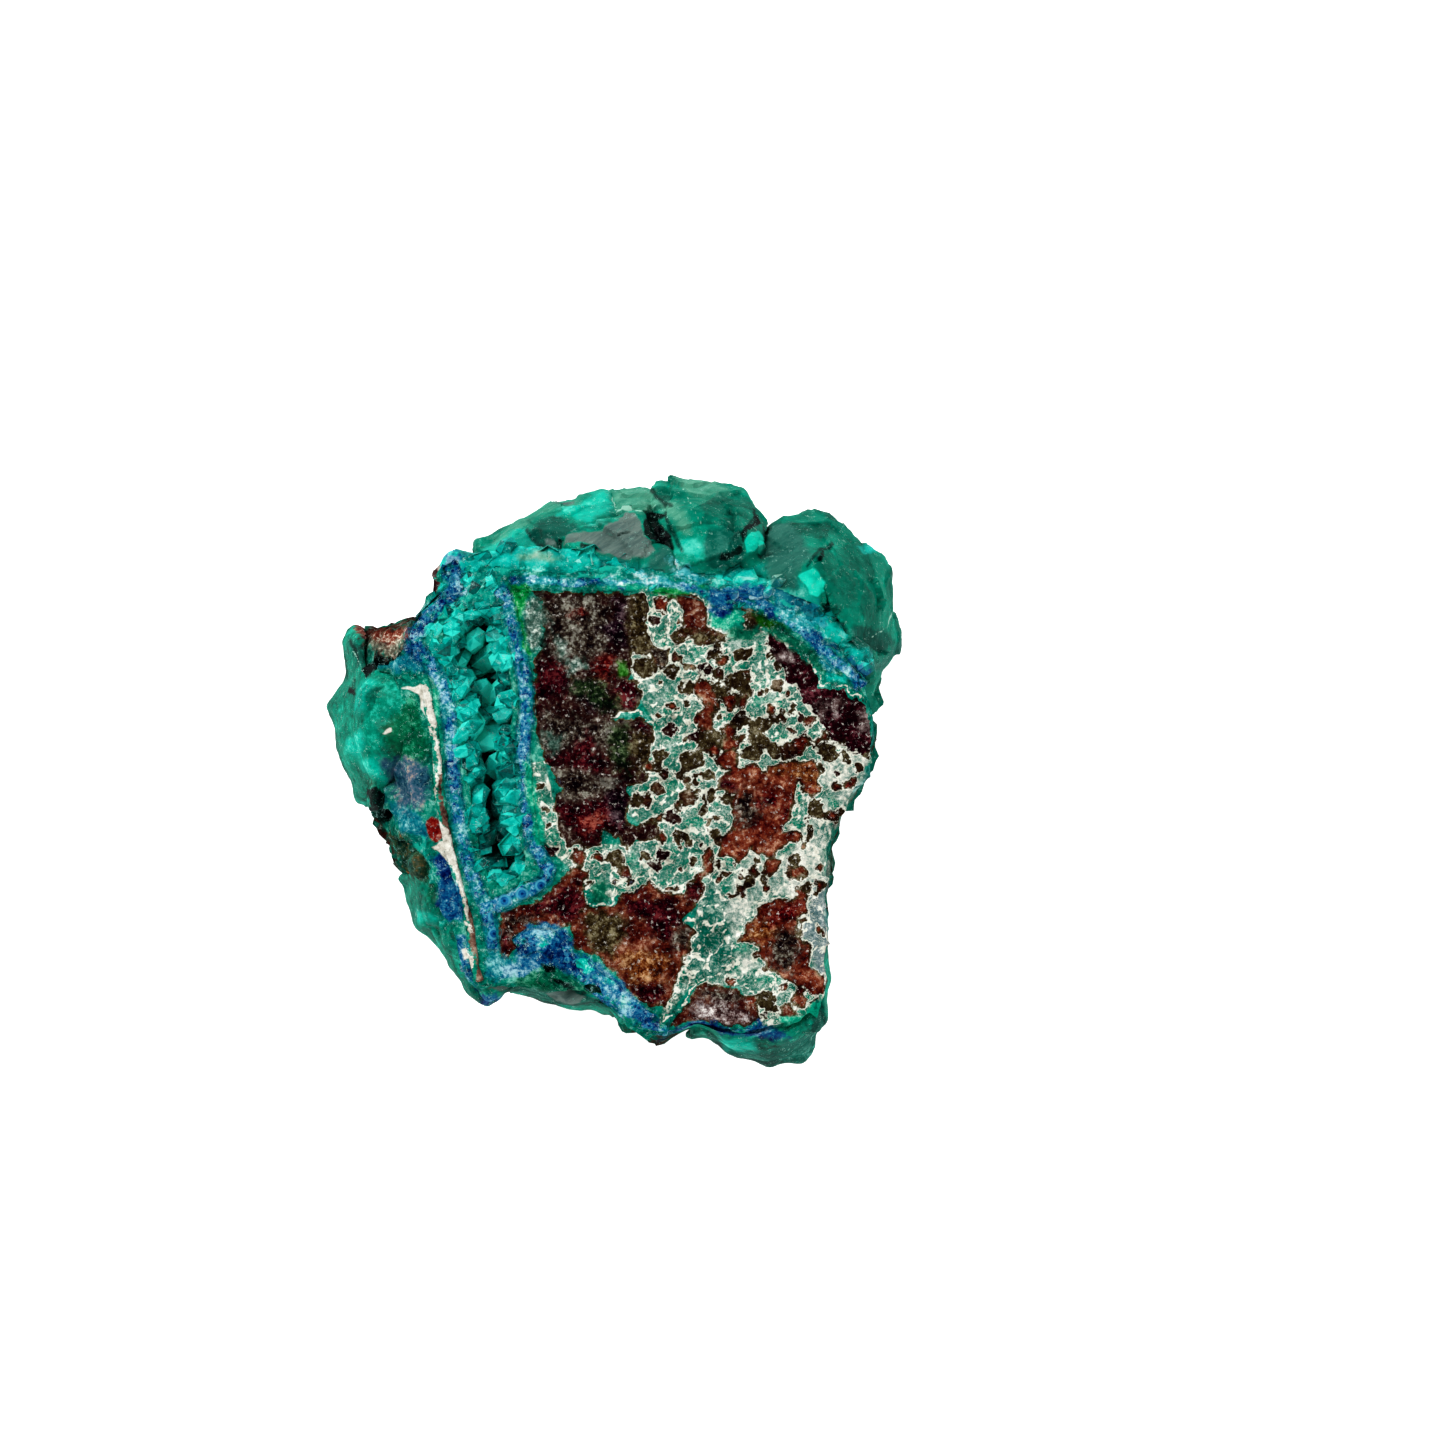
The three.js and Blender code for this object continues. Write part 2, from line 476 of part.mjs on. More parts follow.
const LEFT_FLANK_BLOCKS = [
  // The rounded glassy mass beside the vein.
  [
    [-22.8, 8, 18.6], [-20.8, 9.6, 21.3], [-17.6, 9, 23.6], [-16.6, 7.8, 23.9], [-16.4, 3, 23.9],
    [-16.6, 0.8, 23.8], [-19.4, 1, 22.6], [-22.2, 0.8, 18], [-23.4, 2.8, 14], [-23.9, 5.2, 13],
    [-23.6, 7, 14], [-20.5, 6, 23.2], [-22.3, 2.4, 19.6], [-20.6, 3, 8], [-20.6, 7, 8],
  ],
  // The point at the far left.
  [
    [-24.3, 6.2, 12.5], [-23.8, 7, 12], [-23.3, 7.4, 13], [-22.9, 7.2, 17.5], [-23.2, 5, 17.2],
    [-23.8, 5, 13], [-22, 6.5, 9],
  ],
  // The green wedge of the horn.
  [
    [-23.4, 11.9, 13], [-22.6, 12.4, 12.8], [-21.6, 12.3, 15], [-21.1, 10.4, 18.6], [-21.6, 8.5, 19],
    [-23, 8.7, 14.5], [-23, 10, 13], [-20, 10.2, 9], [-20, 9, 9],
  ],
  // The dark lower part.
  [
    [-23.4, 1.5, 12.6], [-22.6, -0.8, 12.6], [-21.5, -2.6, 12.6], [-20.5, -4.2, 13], [-18.4, -3.2, 20.6],
    [-17.6, -1, 23], [-17.8, 1.4, 23.2], [-21.5, 1, 19.5], [-19.5, 0, 7.5], [-18.8, -2.5, 8],
  ],
];
const LOWER_FLANK_BLOCKS = [
  [
    [-17.8, -11.6, 12.2], [-16.7, -13.5, 11.8], [-15.1, -14.8, 12], [-13.5, -17.8, 12.4], [-12.9, -16, 22],
    [-14, -12.9, 23.4], [-15.3, -10, 23], [-17.4, -10.2, 15.8], [-15.4, -12, 7.5], [-13.4, -15, 7.5],
  ],
  [
    [-18.2, -9.4, 12.6], [-17.9, -11.8, 12.2], [-15.6, -11.6, 19.6], [-15.4, -9, 22.4], [-17, -8.4, 18.6],
    [-16, -10, 8],
  ],
  [
    [-15, -14.9, 12.2], [-14.4, -15.8, 12], [-13.3, -17.7, 12], [-11.9, -19.4, 12.6], [-11.3, -18.6, 20.6],
    [-12.6, -16, 21.8], [-12.5, -17.4, 8],
  ],
];
const FOOT_BLOCKS = [
  [
    [6.1, -22.3, 20.2], [7.1, -22.8, 17.6], [10.5, -24.4, 14.4], [12.9, -25, 12.6], [15.6, -24.9, 12.6],
    [16.9, -24, 13.4], [17.3, -22.7, 15.6], [17.5, -21.2, 18.6], [16.9, -20.8, 22.4], [14.7, -21.8, 23.6],
    [12.2, -22, 23.7], [7.1, -22.2, 23.2], [12.6, -23.8, 20.4], [9, -22.6, 8], [15.6, -22.4, 7],
  ],
  [
    [8.4, -23.4, 16.4], [10.5, -24.4, 14], [12.6, -24.9, 12.4], [12, -23.6, 19.8], [9.4, -22.8, 20.6],
    [9.6, -23, 9.5], [12.2, -23.4, 9],
  ],
];
const NOOK_BLOCKS = [
  [
    [-8.2, -18.4, 22.4], [-5.4, -19.6, 17.6], [-4.4, -20.3, 15.8], [-2.7, -19.9, 17.2], [-3.2, -18, 22.6],
    [-5.8, -17.8, 23.2], [-5, -18.6, 11],
  ],
  [
    [-4.6, -20.3, 15.4], [-3.2, -20.2, 15], [-1.4, -20.6, 15.4], [-1, -19.3, 21.4], [-3, -18.4, 22.4],
    [-2.6, -19, 10.5],
  ],
];
const NOOK_PRISMS = [
  { foot: [-6.6, -17.4, 19.4], axis: [-0.2, -0.5, 1], radius: 0.9, length: 3.4, facing: 0.2 },
  { foot: [-4.2, -17.6, 19.2], axis: [0.15, -0.6, 1], radius: 1, length: 3.6, facing: 0.7 },
  { foot: [-2.2, -18.6, 18.6], axis: [0.3, -0.4, 1], radius: 0.8, length: 3.4, facing: 0.4 },
];

// The crystals that line the hollow stand along its walls and lean in over its floor.
const CRUST_THICKNESS = 1.3;
const CRUST_CRYSTALS = 26;
const CRUST_TOP = FACE_HEIGHT - 0.35;

function vugCrust() {
  const random = dice(1);
  const space = hollow(GAP);
  const floor = FACE_HEIGHT - HOLLOW_DEPTH + GAP;
  const bed = space.intersect(slab(HOLLOW, floor - 1, floor + CRUST_THICKNESS));
  const feet = inset(HOLLOW, 0.75);
  const standing = Array.from({ length: CRUST_CRYSTALS }, (_, i) => {
    const spot = (i + 0.6 * random()) * (feet.length / CRUST_CRYSTALS);
    const [ax, ay] = feet[Math.floor(spot) % feet.length];
    const [bx, by] = feet[(Math.floor(spot) + 1) % feet.length];
    const [x, y] = [ax + (bx - ax) * (spot % 1), ay + (by - ay) * (spot % 1)];
    const length = Math.hypot(bx - ax, by - ay);
    const inward = 0.2 + 0.5 * random();
    return crystal({
      foot: [x, y, floor + 0.4],
      axis: [(-(by - ay) / length) * inward, ((bx - ax) / length) * inward + random() - 0.5, 1],
      radius: 0.6 + 0.5 * random(),
      length: 2.6 + 3.4 * random(),
      facing: random(),
    });
  });
  const roof = slab([[-30, -30], [30, -30], [30, 30], [-30, 30]], CRUST_TOP, CRUST_TOP + 20);
  return joined([bed, ...standing]).intersect(space).subtract(roof);
}

// ---------------------------------------------------------------------------------------------------
// The pieces

const grownBody = body(GAP);
const grownLayers = joined(LAYERS.map(({ routes, width }) => layer(routes, width, GAP)));

// Everything that a ragged patch on one side of the body stands over. The patch is drawn as seen from
// outside, along the side and up, and heading is the way that side faces, in degrees from +X.
function outward(patch, heading) {
  const angle = THREE.MathUtils.degToRad(heading);
  const out = new THREE.Vector3(Math.cos(angle), Math.sin(angle), 0);
  const up = new THREE.Vector3(0, 0, 1);
  const along = new THREE.Vector3().crossVectors(up, out);
  const shape = new THREE.Shape(patch.map(([x, y]) => new THREE.Vector2(x, y)));
  const geometry = new THREE.ExtrudeGeometry(shape, { depth: 40, bevelEnabled: false });
  return solid(geometry.applyMatrix4(new THREE.Matrix4().makeBasis(along, up, out)));
}

// The thin bed on the side of the body that a group of crystals shares.
const BED_THICKNESS = 1;

function bed(patches) {
  const cover = joined(patches.map(({ heading, patch }) => outward(patch, heading)));
  return body(GAP + BED_THICKNESS).intersect(cover);
}

const CREST_BEDS = [
  {
    heading: 90,
    patch: [
      [12.3, 21.5], [11.6, 17.2], [12.4, 13.2], [10.8, 9.6], [8.6, 10.2], [6.6, 7], [3.6, 8.2], [1.2, 6],
      [-2.4, 7.2], [-5, 5.4], [-8.2, 7], [-11, 5.8], [-14, 6.8], [-14, 22.5],
    ].reverse(),
  },
  {
    heading: 35,
    patch: [
      [9, 22.5], [9, 6.2], [6.2, 5.4], [3, 7.4], [0.2, 6], [-3, 8], [-5.4, 7.2], [-7.4, 10.4], [-6.8, 14],
      [-8.8, 18], [-6.6, 21.5],
    ].reverse(),
  },
];
const LEFT_BEDS = [
  {
    heading: 170,
    patch: [
      [-7.8, 17], [-8.4, 12.4], [-6.4, 9], [-4, 10.4], [-2, 7.6], [1, 9.2], [3.4, 7.4], [5.4, 10.2],
      [7, 13], [5.8, 18], [4, 21.6], [1, 22.4], [-2, 22.6], [-5, 20.4],
    ],
  },
];
const LOWER_BEDS = [
  {
    heading: 215,
    patch: [
      [-3, 19], [-3.6, 13], [-1.8, 9], [0, 10.6], [2.4, 7.4], [5, 9.4], [7.4, 7.6], [9.2, 10.6],
      [10.3, 15], [9, 19.5], [6, 21.3], [2, 19.4], [-1, 21],
    ],
  },
];
const FOOT_BEDS = [
  {
    heading: 280,
    patch: [
      [2, 20], [1.4, 14], [2.8, 9.4], [5, 8.8], [7, 6.2], [10, 8], [13, 6], [14.8, 9.2], [16, 14],
      [15, 20], [11, 21.4], [6, 20.2],
    ],
  },
];
const NOOK_BEDS = [
  {
    heading: 255,
    patch: [
      [-3.6, 20.4], [-4, 15], [-2.4, 11.2], [0, 8.8], [2.6, 10.8], [4.6, 9.4], [5.4, 14], [4.8, 19],
      [2.5, 21.4], [-1, 20.2],
    ],
  },
];

// What has grown on the body is cut to it, and to the layers in its face.
function grownOn(beds, blocks, prisms = []) {
  return joined([bed(beds), ...blocks.map(hull), ...prisms.map(crystal)])
    .subtract(grownBody)
    .subtract(grownLayers);
}

const pieces = {
  host_rock: body()
    .subtract(grownLayers)
    .subtract(hollow())
    .subtract(joined([...WINDOWS.map(sunken), ...pits()])),
  dioptase_crest: grownOn(CREST_BEDS, CREST_BLOCKS, CREST_PRISMS),
  dioptase_left_flank: grownOn(LEFT_BEDS, LEFT_FLANK_BLOCKS),
  dioptase_lower_flank: grownOn(LOWER_BEDS, LOWER_FLANK_BLOCKS),
  dioptase_foot: grownOn(FOOT_BEDS, FOOT_BLOCKS),
  dioptase_foot_nook: grownOn(NOOK_BEDS, NOOK_BLOCKS, NOOK_PRISMS),
  vug_crystal_crust: vugCrust(),
};
for (const { name, routes, width } of LAYERS) pieces[name] = layer(routes, width);
pieces.shattuckite_vug_band = pieces.shattuckite_vug_band.add(joined(BEADS.map(bead)));

const FINISH = {
  host_rock: [0x5a3a2e, 0.75],
  vug_crystal_crust: [0x1fae94, 0.2],
  calcite_seam: [0xe8e2d2, 0.7],
};
const BLUE = [0x2f78b8, 0.6];
const GREEN = [0x11785f, 0.18];

const specimen = new THREE.Group();
for (const [name, piece] of Object.entries(pieces)) {
  const [color, roughness] = FINISH[name] ?? (name.startsWith("shattuckite") ? BLUE : GREEN);
  specimen.add(mesh(name, piece, color, roughness));
}

export default specimen;
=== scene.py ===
import json
import math
import random

import bpy
import numpy as np
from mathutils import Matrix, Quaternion, Vector, noise

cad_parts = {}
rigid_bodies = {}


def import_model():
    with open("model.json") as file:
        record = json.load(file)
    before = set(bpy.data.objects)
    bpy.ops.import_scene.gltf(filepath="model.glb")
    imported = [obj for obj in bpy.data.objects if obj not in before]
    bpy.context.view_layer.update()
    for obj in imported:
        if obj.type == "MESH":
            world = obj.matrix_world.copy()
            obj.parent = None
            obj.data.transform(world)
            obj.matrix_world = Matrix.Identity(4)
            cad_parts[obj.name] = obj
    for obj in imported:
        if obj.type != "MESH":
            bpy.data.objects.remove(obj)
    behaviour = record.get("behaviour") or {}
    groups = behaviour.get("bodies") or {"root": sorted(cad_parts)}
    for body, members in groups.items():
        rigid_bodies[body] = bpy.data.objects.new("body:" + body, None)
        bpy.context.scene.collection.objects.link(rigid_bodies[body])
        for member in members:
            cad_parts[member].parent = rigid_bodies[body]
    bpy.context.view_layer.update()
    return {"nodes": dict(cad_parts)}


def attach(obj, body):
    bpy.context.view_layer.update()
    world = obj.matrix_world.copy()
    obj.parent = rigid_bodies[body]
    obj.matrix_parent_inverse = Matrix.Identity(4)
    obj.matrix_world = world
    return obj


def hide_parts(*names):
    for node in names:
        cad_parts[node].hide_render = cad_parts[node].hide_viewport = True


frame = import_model()

# ---------------------------------------------------------------------------------------------------
# The stone. A lump of copper ore, broken from a vein, whose broad face is nearly a plane: brown
# ironstone windows and islands, a teal copper silicate between them, and pale lace where the two meet.
# The sides and the back are rough broken ore.

MM = 0.001
FACE = 24.0  # height of the broad face above the underside, in millimetres
SAME_POINT = 0.002  # points closer than this are one point, in millimetres


def copy_of(name, *nodes):
    """A new piece that starts as a merged copy of some of the frame's solids."""
    bpy.ops.object.select_all(action="DESELECT")
    for node in nodes:
        frame["nodes"][node].select_set(True)
    bpy.context.view_layer.objects.active = frame["nodes"][nodes[0]]
    bpy.ops.object.duplicate()
    if len(nodes) > 1:
        bpy.ops.object.join()
    bpy.ops.object.parent_clear(type="CLEAR_KEEP_TRANSFORM")
    piece = bpy.context.active_object
    piece.name = piece.data.name = name
    for key in list(piece.keys()):
        del piece[key]
    piece.data.materials.clear()
    bpy.ops.object.mode_set(mode="EDIT")
    bpy.ops.mesh.select_all(action="SELECT")
    bpy.ops.mesh.remove_doubles(threshold=SAME_POINT * MM)
    bpy.ops.object.mode_set(mode="OBJECT")
    return piece


def pick(piece):
    """Selects one piece and nothing else."""
    bpy.ops.object.select_all(action="DESELECT")
    piece.select_set(True)
    bpy.context.view_layer.objects.active = piece


def remeshed(piece, size):
    """Gives a piece one even skin of small faces, whose size is in millimetres."""
    bpy.context.view_layer.objects.active = piece
    grid = piece.modifiers.new("Grid", "REMESH")
    grid.mode = "VOXEL"
    grid.voxel_size = size * MM
    bpy.ops.object.modifier_apply(modifier="Grid")


def finer(piece, wanted):
    """Splits the faces that wanted picks, by their middles and normals, once each way."""
    bpy.context.view_layer.objects.active = piece
    bpy.ops.object.mode_set(mode="EDIT")
    bpy.ops.mesh.select_mode(type="FACE")
    bpy.ops.mesh.select_all(action="DESELECT")
    bpy.ops.object.mode_set(mode="OBJECT")
    faces = piece.data.polygons
    middles, facings = np.empty(len(faces) * 3), np.empty(len(faces) * 3)
    faces.foreach_get("center", middles)
    faces.foreach_get("normal", facings)
    faces.foreach_set("select", wanted(middles.reshape(-1, 3) / MM, facings.reshape(-1, 3)))
    bpy.ops.object.mode_set(mode="EDIT")
    bpy.ops.mesh.subdivide(number_cuts=1)
    bpy.ops.object.mode_set(mode="OBJECT")


def places(piece):
    """Where a piece's points are, in millimetres."""
    flat = np.empty(len(piece.data.vertices) * 3)
    piece.data.vertices.foreach_get("co", flat)
    return flat.reshape(-1, 3) / MM


def facings(piece):
    """Which way a piece's points face."""
    flat = np.empty(len(piece.data.vertices) * 3)
    piece.data.vertices.foreach_get("normal", flat)
    return flat.reshape(-1, 3)


def move(piece, points):
    """Moves a piece's points to these places, in millimetres."""
    piece.data.vertices.foreach_set("co", (points * MM).ravel())
    piece.data.update()


def keep(piece, name, values):
    """Keeps a number for each point of a piece under a name that its material reads."""
    layer = piece.data.attributes.new(name, "FLOAT", "POINT")
    layer.data.foreach_set("value", np.asarray(values, np.float32))


def ease(values, low, high):
    """0 up to low, 1 from high on, and smooth between them."""
    share = np.clip((values - low) / (high - low), 0, 1)
    return share * share * (3 - 2 * share)


def lumps(points, size, octaves=2, shift=0.0):
    """Natural lumps from about -1 to 1, as wide as size."""
    spots = points / size + shift
    return np.array([noise.fractal(spot, 1.0, 2.0, octaves) for spot in spots])


def cells(points, size):
    """Distances to the nearest and the second nearest of scattered seeds, which lie about size apart."""
    found = np.array([noise.voronoi(spot)[0][:2] for spot in points / size])
    return found[:, 0] * size, found[:, 1] * size


def warped(points, size, amount, shift=0.0):
    """The points' places in the plane of the face, pushed about so that outlines drawn there wander."""
    pushed = points[:, :2].copy()
    pushed[:, 0] += amount * lumps(points, size, 2, shift)
    pushed[:, 1] += amount * lumps(points, size, 2, shift + 31.7)
    return pushed


REACH = 2.5  # how far from a line or an outline a distance is still measured, in millimetres


def from_route(spots, route):
    """Distance from each place on the face to a line through a route's corners."""
    beside = np.all((spots > np.min(route, 0) - REACH) & (spots < np.max(route, 0) + REACH), axis=1)
    close, nearest = spots[beside], np.full(len(spots), 9.0)
    for start, end in zip(route, route[1:]):
        start, leg = np.array(start), np.array(end) - np.array(start)
        share = np.clip(((close - start) @ leg) / (leg @ leg), 0, 1)
        gap = np.hypot(*(close - start - share[:, None] * leg).T)
        nearest[beside] = np.minimum(nearest[beside], gap)
    return nearest


def from_outline(spots, outline):
    """Distance from each place on the face to a closed outline, below zero inside it."""
    beside = np.all((spots > np.min(outline, 0)) & (spots < np.max(outline, 0)), axis=1)
    close, hit = spots[beside], np.zeros(beside.sum(), bool)
    for (ax, ay), (bx, by) in zip(outline, outline[1:] + outline[:1]):
        spans = (ay > close[:, 1]) != (by > close[:, 1])
        rise = by - ay if by != ay else 1e-9
        hit ^= spans & (close[:, 0] < ax + (bx - ax) * (close[:, 1] - ay) / rise)
    gap = from_route(spots, outline + outline[:1])
    gap[beside] *= np.where(hit, -1, 1)
    return gap


def from_any(spots, outlines):
    """Distance to the nearest of some outlines, below zero inside any of them."""
    return np.min([from_outline(spots, outline) for outline in outlines], axis=0)


def from_lines(spots, routes):
    """Distance to the nearest of some routes."""
    return np.min([from_route(spots, route) for route in routes], axis=0)


# The routes of the blue layers, and the hollow's outline.
VUG_ROUTE_LEFT = [
    (-14.2, 17.7), (-13.7, 16.8), (-13.7, 15.5), (-14.9, 14.4), (-16.2, 13.1), (-17, 11.8), (-16.8, 10.4),
    (-15.8, 9.2), (-14.8, 7.7), (-14.4, 6), (-14.2, 4.3), (-14, 2.6), (-13.9, 0.9), (-13.9, -0.8),
    (-13.6, -2.5), (-13.4, -4.2), (-13, -5.7), (-12.7, -7.3), (-12.3, -8.6), (-11.8, -10), (-11.1, -11.3),
    (-10.6, -13.4), (-10.5, -15),
]
VUG_ROUTE_RIGHT = [
    (-9.9, 15.6), (-9.2, 13.8), (-8.8, 12.3), (-8.4, 10.6), (-8, 8.7), (-7.7, 6.8), (-7.6, 5.1), (-7.9, 3.4),
    (-8, 1.7), (-7.9, 0), (-7.8, -1.7), (-7.5, -3.4), (-7.3, -5.1), (-7.1, -6.2), (-6.3, -7.2), (-5.8, -8.1),
    (-5.9, -9), (-6.8, -9.7), (-8.1, -10.2), (-9.4, -11), (-10.8, -11.5),
]
CREST_ROUTE = [
    (-8.9, 16.3), (-7.3, 16.4), (-4.8, 16.2), (-2.2, 16.2), (0.3, 16.1), (2.8, 16.1), (5.4, 15.9),
    (7.5, 15.2), (9.1, 14.6), (10.9, 14.5), (12.6, 14), (14.2, 13), (15.9, 11.9), (17.3, 10.7), (18.5, 9.6),
    (19.8, 8.4), (20.8, 7.2),
]
FOOT_ROUTE = [
    (-8.4, -14.9), (-7.2, -14.2), (-6, -14.2), (-5, -15.1), (-3.8, -16.1), (-2.6, -17.1), (-1.2, -18.2),
    (0.1, -19.3), (1.7, -20.5), (3.2, -21.2), (4.4, -21.4),
]
HOLLOW = [
    (-11.8, 14.3), (-10.4, 14.3), (-9.9, 12.8), (-9.6, 10.8), (-9.3, 8.9), (-9, 6.8), (-9, 4.8), (-9.2, 2.8),
    (-9.2, 0.2), (-9, -2.3), (-8.7, -4.5), (-8.3, -6.2), (-7.7, -7.6), (-8.4, -8.8), (-9.7, -9.4),
    (-10.5, -9.1), (-11.2, -7.8), (-11.6, -5.9), (-12.1, -4), (-12.3, -1.9), (-12.6, 0.6), (-12.7, 3.2),
    (-13, 5.7), (-13.4, 7.7), (-14.4, 8.9), (-15, 10.2), (-14.6, 11.8), (-13.6, 13.1), (-12.8, 13.8),
]

# Brown windows: how warm their brown is, from black purple at 0 to rust at 1, and their outlines.
WINDOWS = [
    (0.25, [(-7.3, 15.2), (-3, 15.3), (2.3, 15.2), (2.6, 14), (2.5, 12), (3, 10.9), (4.2, 10.6), (4.6, 9.4),
            (3.9, 8.6), (3.2, 9.2), (2.6, 10), (1.3, 10.2), (1.3, 8.8), (1, 8.1), (2, 7.8), (2.2, 6.4), (1.5, 5.2),
            (0.4, 5), (-0.2, 4.6), (1.1, 4.5), (2.4, 4.8), (3.2, 3.3), (3, 1.6), (2.2, 0.2), (2.8, -0.2),
            (2.3, -1), (1.2, -1.3), (1, -3), (0.8, -3.9), (1.3, -4.5), (3.5, -4), (3.9, -5), (3.4, -5.9),
            (1.9, -5.7), (0.9, -6.6), (-0.5, -5.3), (-1, -4.9), (-1.4, -6.2), (-2.4, -6.6), (-3.1, -5.9),
            (-4.2, -6.6), (-4.8, -5), (-5, -3.9), (-5.5, -3), (-5, -2), (-4.7, -1.2), (-5.6, 0.3), (-6.3, 1.2),
            (-6.8, 3.2), (-7.1, 6), (-7.1, 9.6), (-6.3, 10.6), (-6.1, 12.6), (-6.4, 14.6)]),
    (0.6, [(-2.9, -8), (-2.2, -8.2), (-2.7, -9.1), (-2.6, -11.5), (-0.4, -11.3), (0.6, -10.3), (1.9, -9.9),
           (2.8, -8.9), (3.9, -9.9), (4.9, -10.4), (5.7, -10.1), (6.1, -9.3), (7.1, -8.4), (7.3, -7.2),
           (8, -6.2), (8.4, -7), (8, -8.4), (7.5, -9), (7.3, -10.6), (6.4, -11.7), (5.5, -12.5), (6.5, -13.3),
           (6.5, -14.4), (5.6, -16.6), (4.4, -19.7), (3, -19.9), (1.2, -19), (-0.2, -17), (-1.4, -15.8),
           (-3.9, -14.6), (-4, -13.1), (-7.4, -12.9), (-8.4, -13.9), (-9, -15.8), (-9.7, -16.2), (-10.1, -13.6),
           (-9.8, -11.8), (-6.4, -10.6), (-4.6, -8.8), (-3.9, -8.1)]),
    (0.75, [(8.5, -0.4), (9.4, 0.1), (9, 1.5), (9.9, 1.9), (10.3, 0.7), (12.8, 0.4), (14.2, 1.1), (15.4, 0.9),
            (16.6, 1.3), (17.2, 0), (17, -1.8), (16.4, -2.1), (16.2, -1.3), (15.3, -0.9), (15, -3),
            (15, -4), (14.3, -4.3), (14, -5.1), (15.3, -4.9), (15.9, -5.7), (14.6, -6.1), (13.8, -6.5),
            (13.5, -7.2), (12, -7), (11.4, -6.3), (11, -7.2), (10.2, -7.9), (9.6, -7.3), (8.6, -7.1),
            (9.2, -5), (10.1, -4.7), (9.6, -2.6), (10, -1.7), (8.6, -1.3)]),
    (0.9, [(12.2, -11), (14, -10.8), (15.9, -10.4), (16.1, -11.4), (15.2, -12.8), (15, -13.7), (16.4, -14.6),
           (16.4, -16.4), (17.8, -17.4), (17.8, -18.8), (16.8, -19.1), (15.2, -17.9), (13.6, -17.4),
           (12.2, -15.8), (11.9, -14.8), (11.2, -14.3), (10.2, -14.4), (10.4, -13.6), (11.8, -12.2)]),
    (0.45, [(4.6, -21.5), (5.4, -20.2), (6.3, -19.4), (6.8, -18.3), (7.6, -17.9), (9.4, -18.1), (11.5, -19.2),
            (12.4, -20.8), (11, -21.5), (9, -21.6), (6, -21.4)]),
    (0.0, [(12.9, 11.9), (13.6, 11.6), (15, 10.4), (16.6, 8.8), (17.3, 7.3), (19.4, 6.9), (21.6, 5.7), (22, 3.4),
           (21.7, 1.9), (20.2, 1.7), (19.2, 2.2), (18, 3.1), (17.2, 4.8), (16.6, 5.3), (15.9, 6), (15.6, 7.1),
           (14.4, 7.5), (14.2, 9.1), (13.2, 10)]),
    (0.5, [(4.8, 14.7), (5.6, 15.1), (7, 15), (7.6, 14), (7.8, 12.6), (9.3, 11.7), (9.2, 11), (7.6, 10.6),
           (6.2, 11.2), (4.8, 10.9), (4.5, 11.8), (5.8, 12.3), (5.7, 13.8)]),
]
# The ground that the lace and the pebbles cover, and the channel of plain teal through it.
LACE = [
    (2, 15.5), (7.5, 15.3), (9, 11.9), (12.2, 12.4), (15.6, 7.9), (18.5, 3.2), (21.7, 1.7), (19.8, -3.2),
    (18.3, -5.3), (17.8, -10.8), (17.8, -19.3), (15.6, -21.4), (12.2, -21.4), (10.5, -18), (6.2, -18),
    (3.6, -21.4), (6.2, -14.2), (7.1, -11.2), (6.2, -10.4), (2, -10), (-1.4, -10.8), (-3.9, -8.2), (-6, -5.9),
    (-6.9, -2.3), (-7, 0.7), (-6.2, 0.8), (-4.8, -4.9), (-1.4, -6.2), (1.1, -6.2), (3.3, -5.3), (1, -3.4),
    (2, 0.9), (3.3, 4), (1, 9.1), (1.6, 10.6),
]
TEAL_CHANNEL = [
    (7.1, -6.6), (8.4, -6.4), (8.4, -9.1), (10.1, -11.2), (10.2, -13.6), (9.8, -17.2), (8.1, -17.4),
    (6.2, -18), (4.7, -19.7), (6.2, -15.9), (6.6, -13.4), (7.1, -11.2), (7.6, -9.1),
]
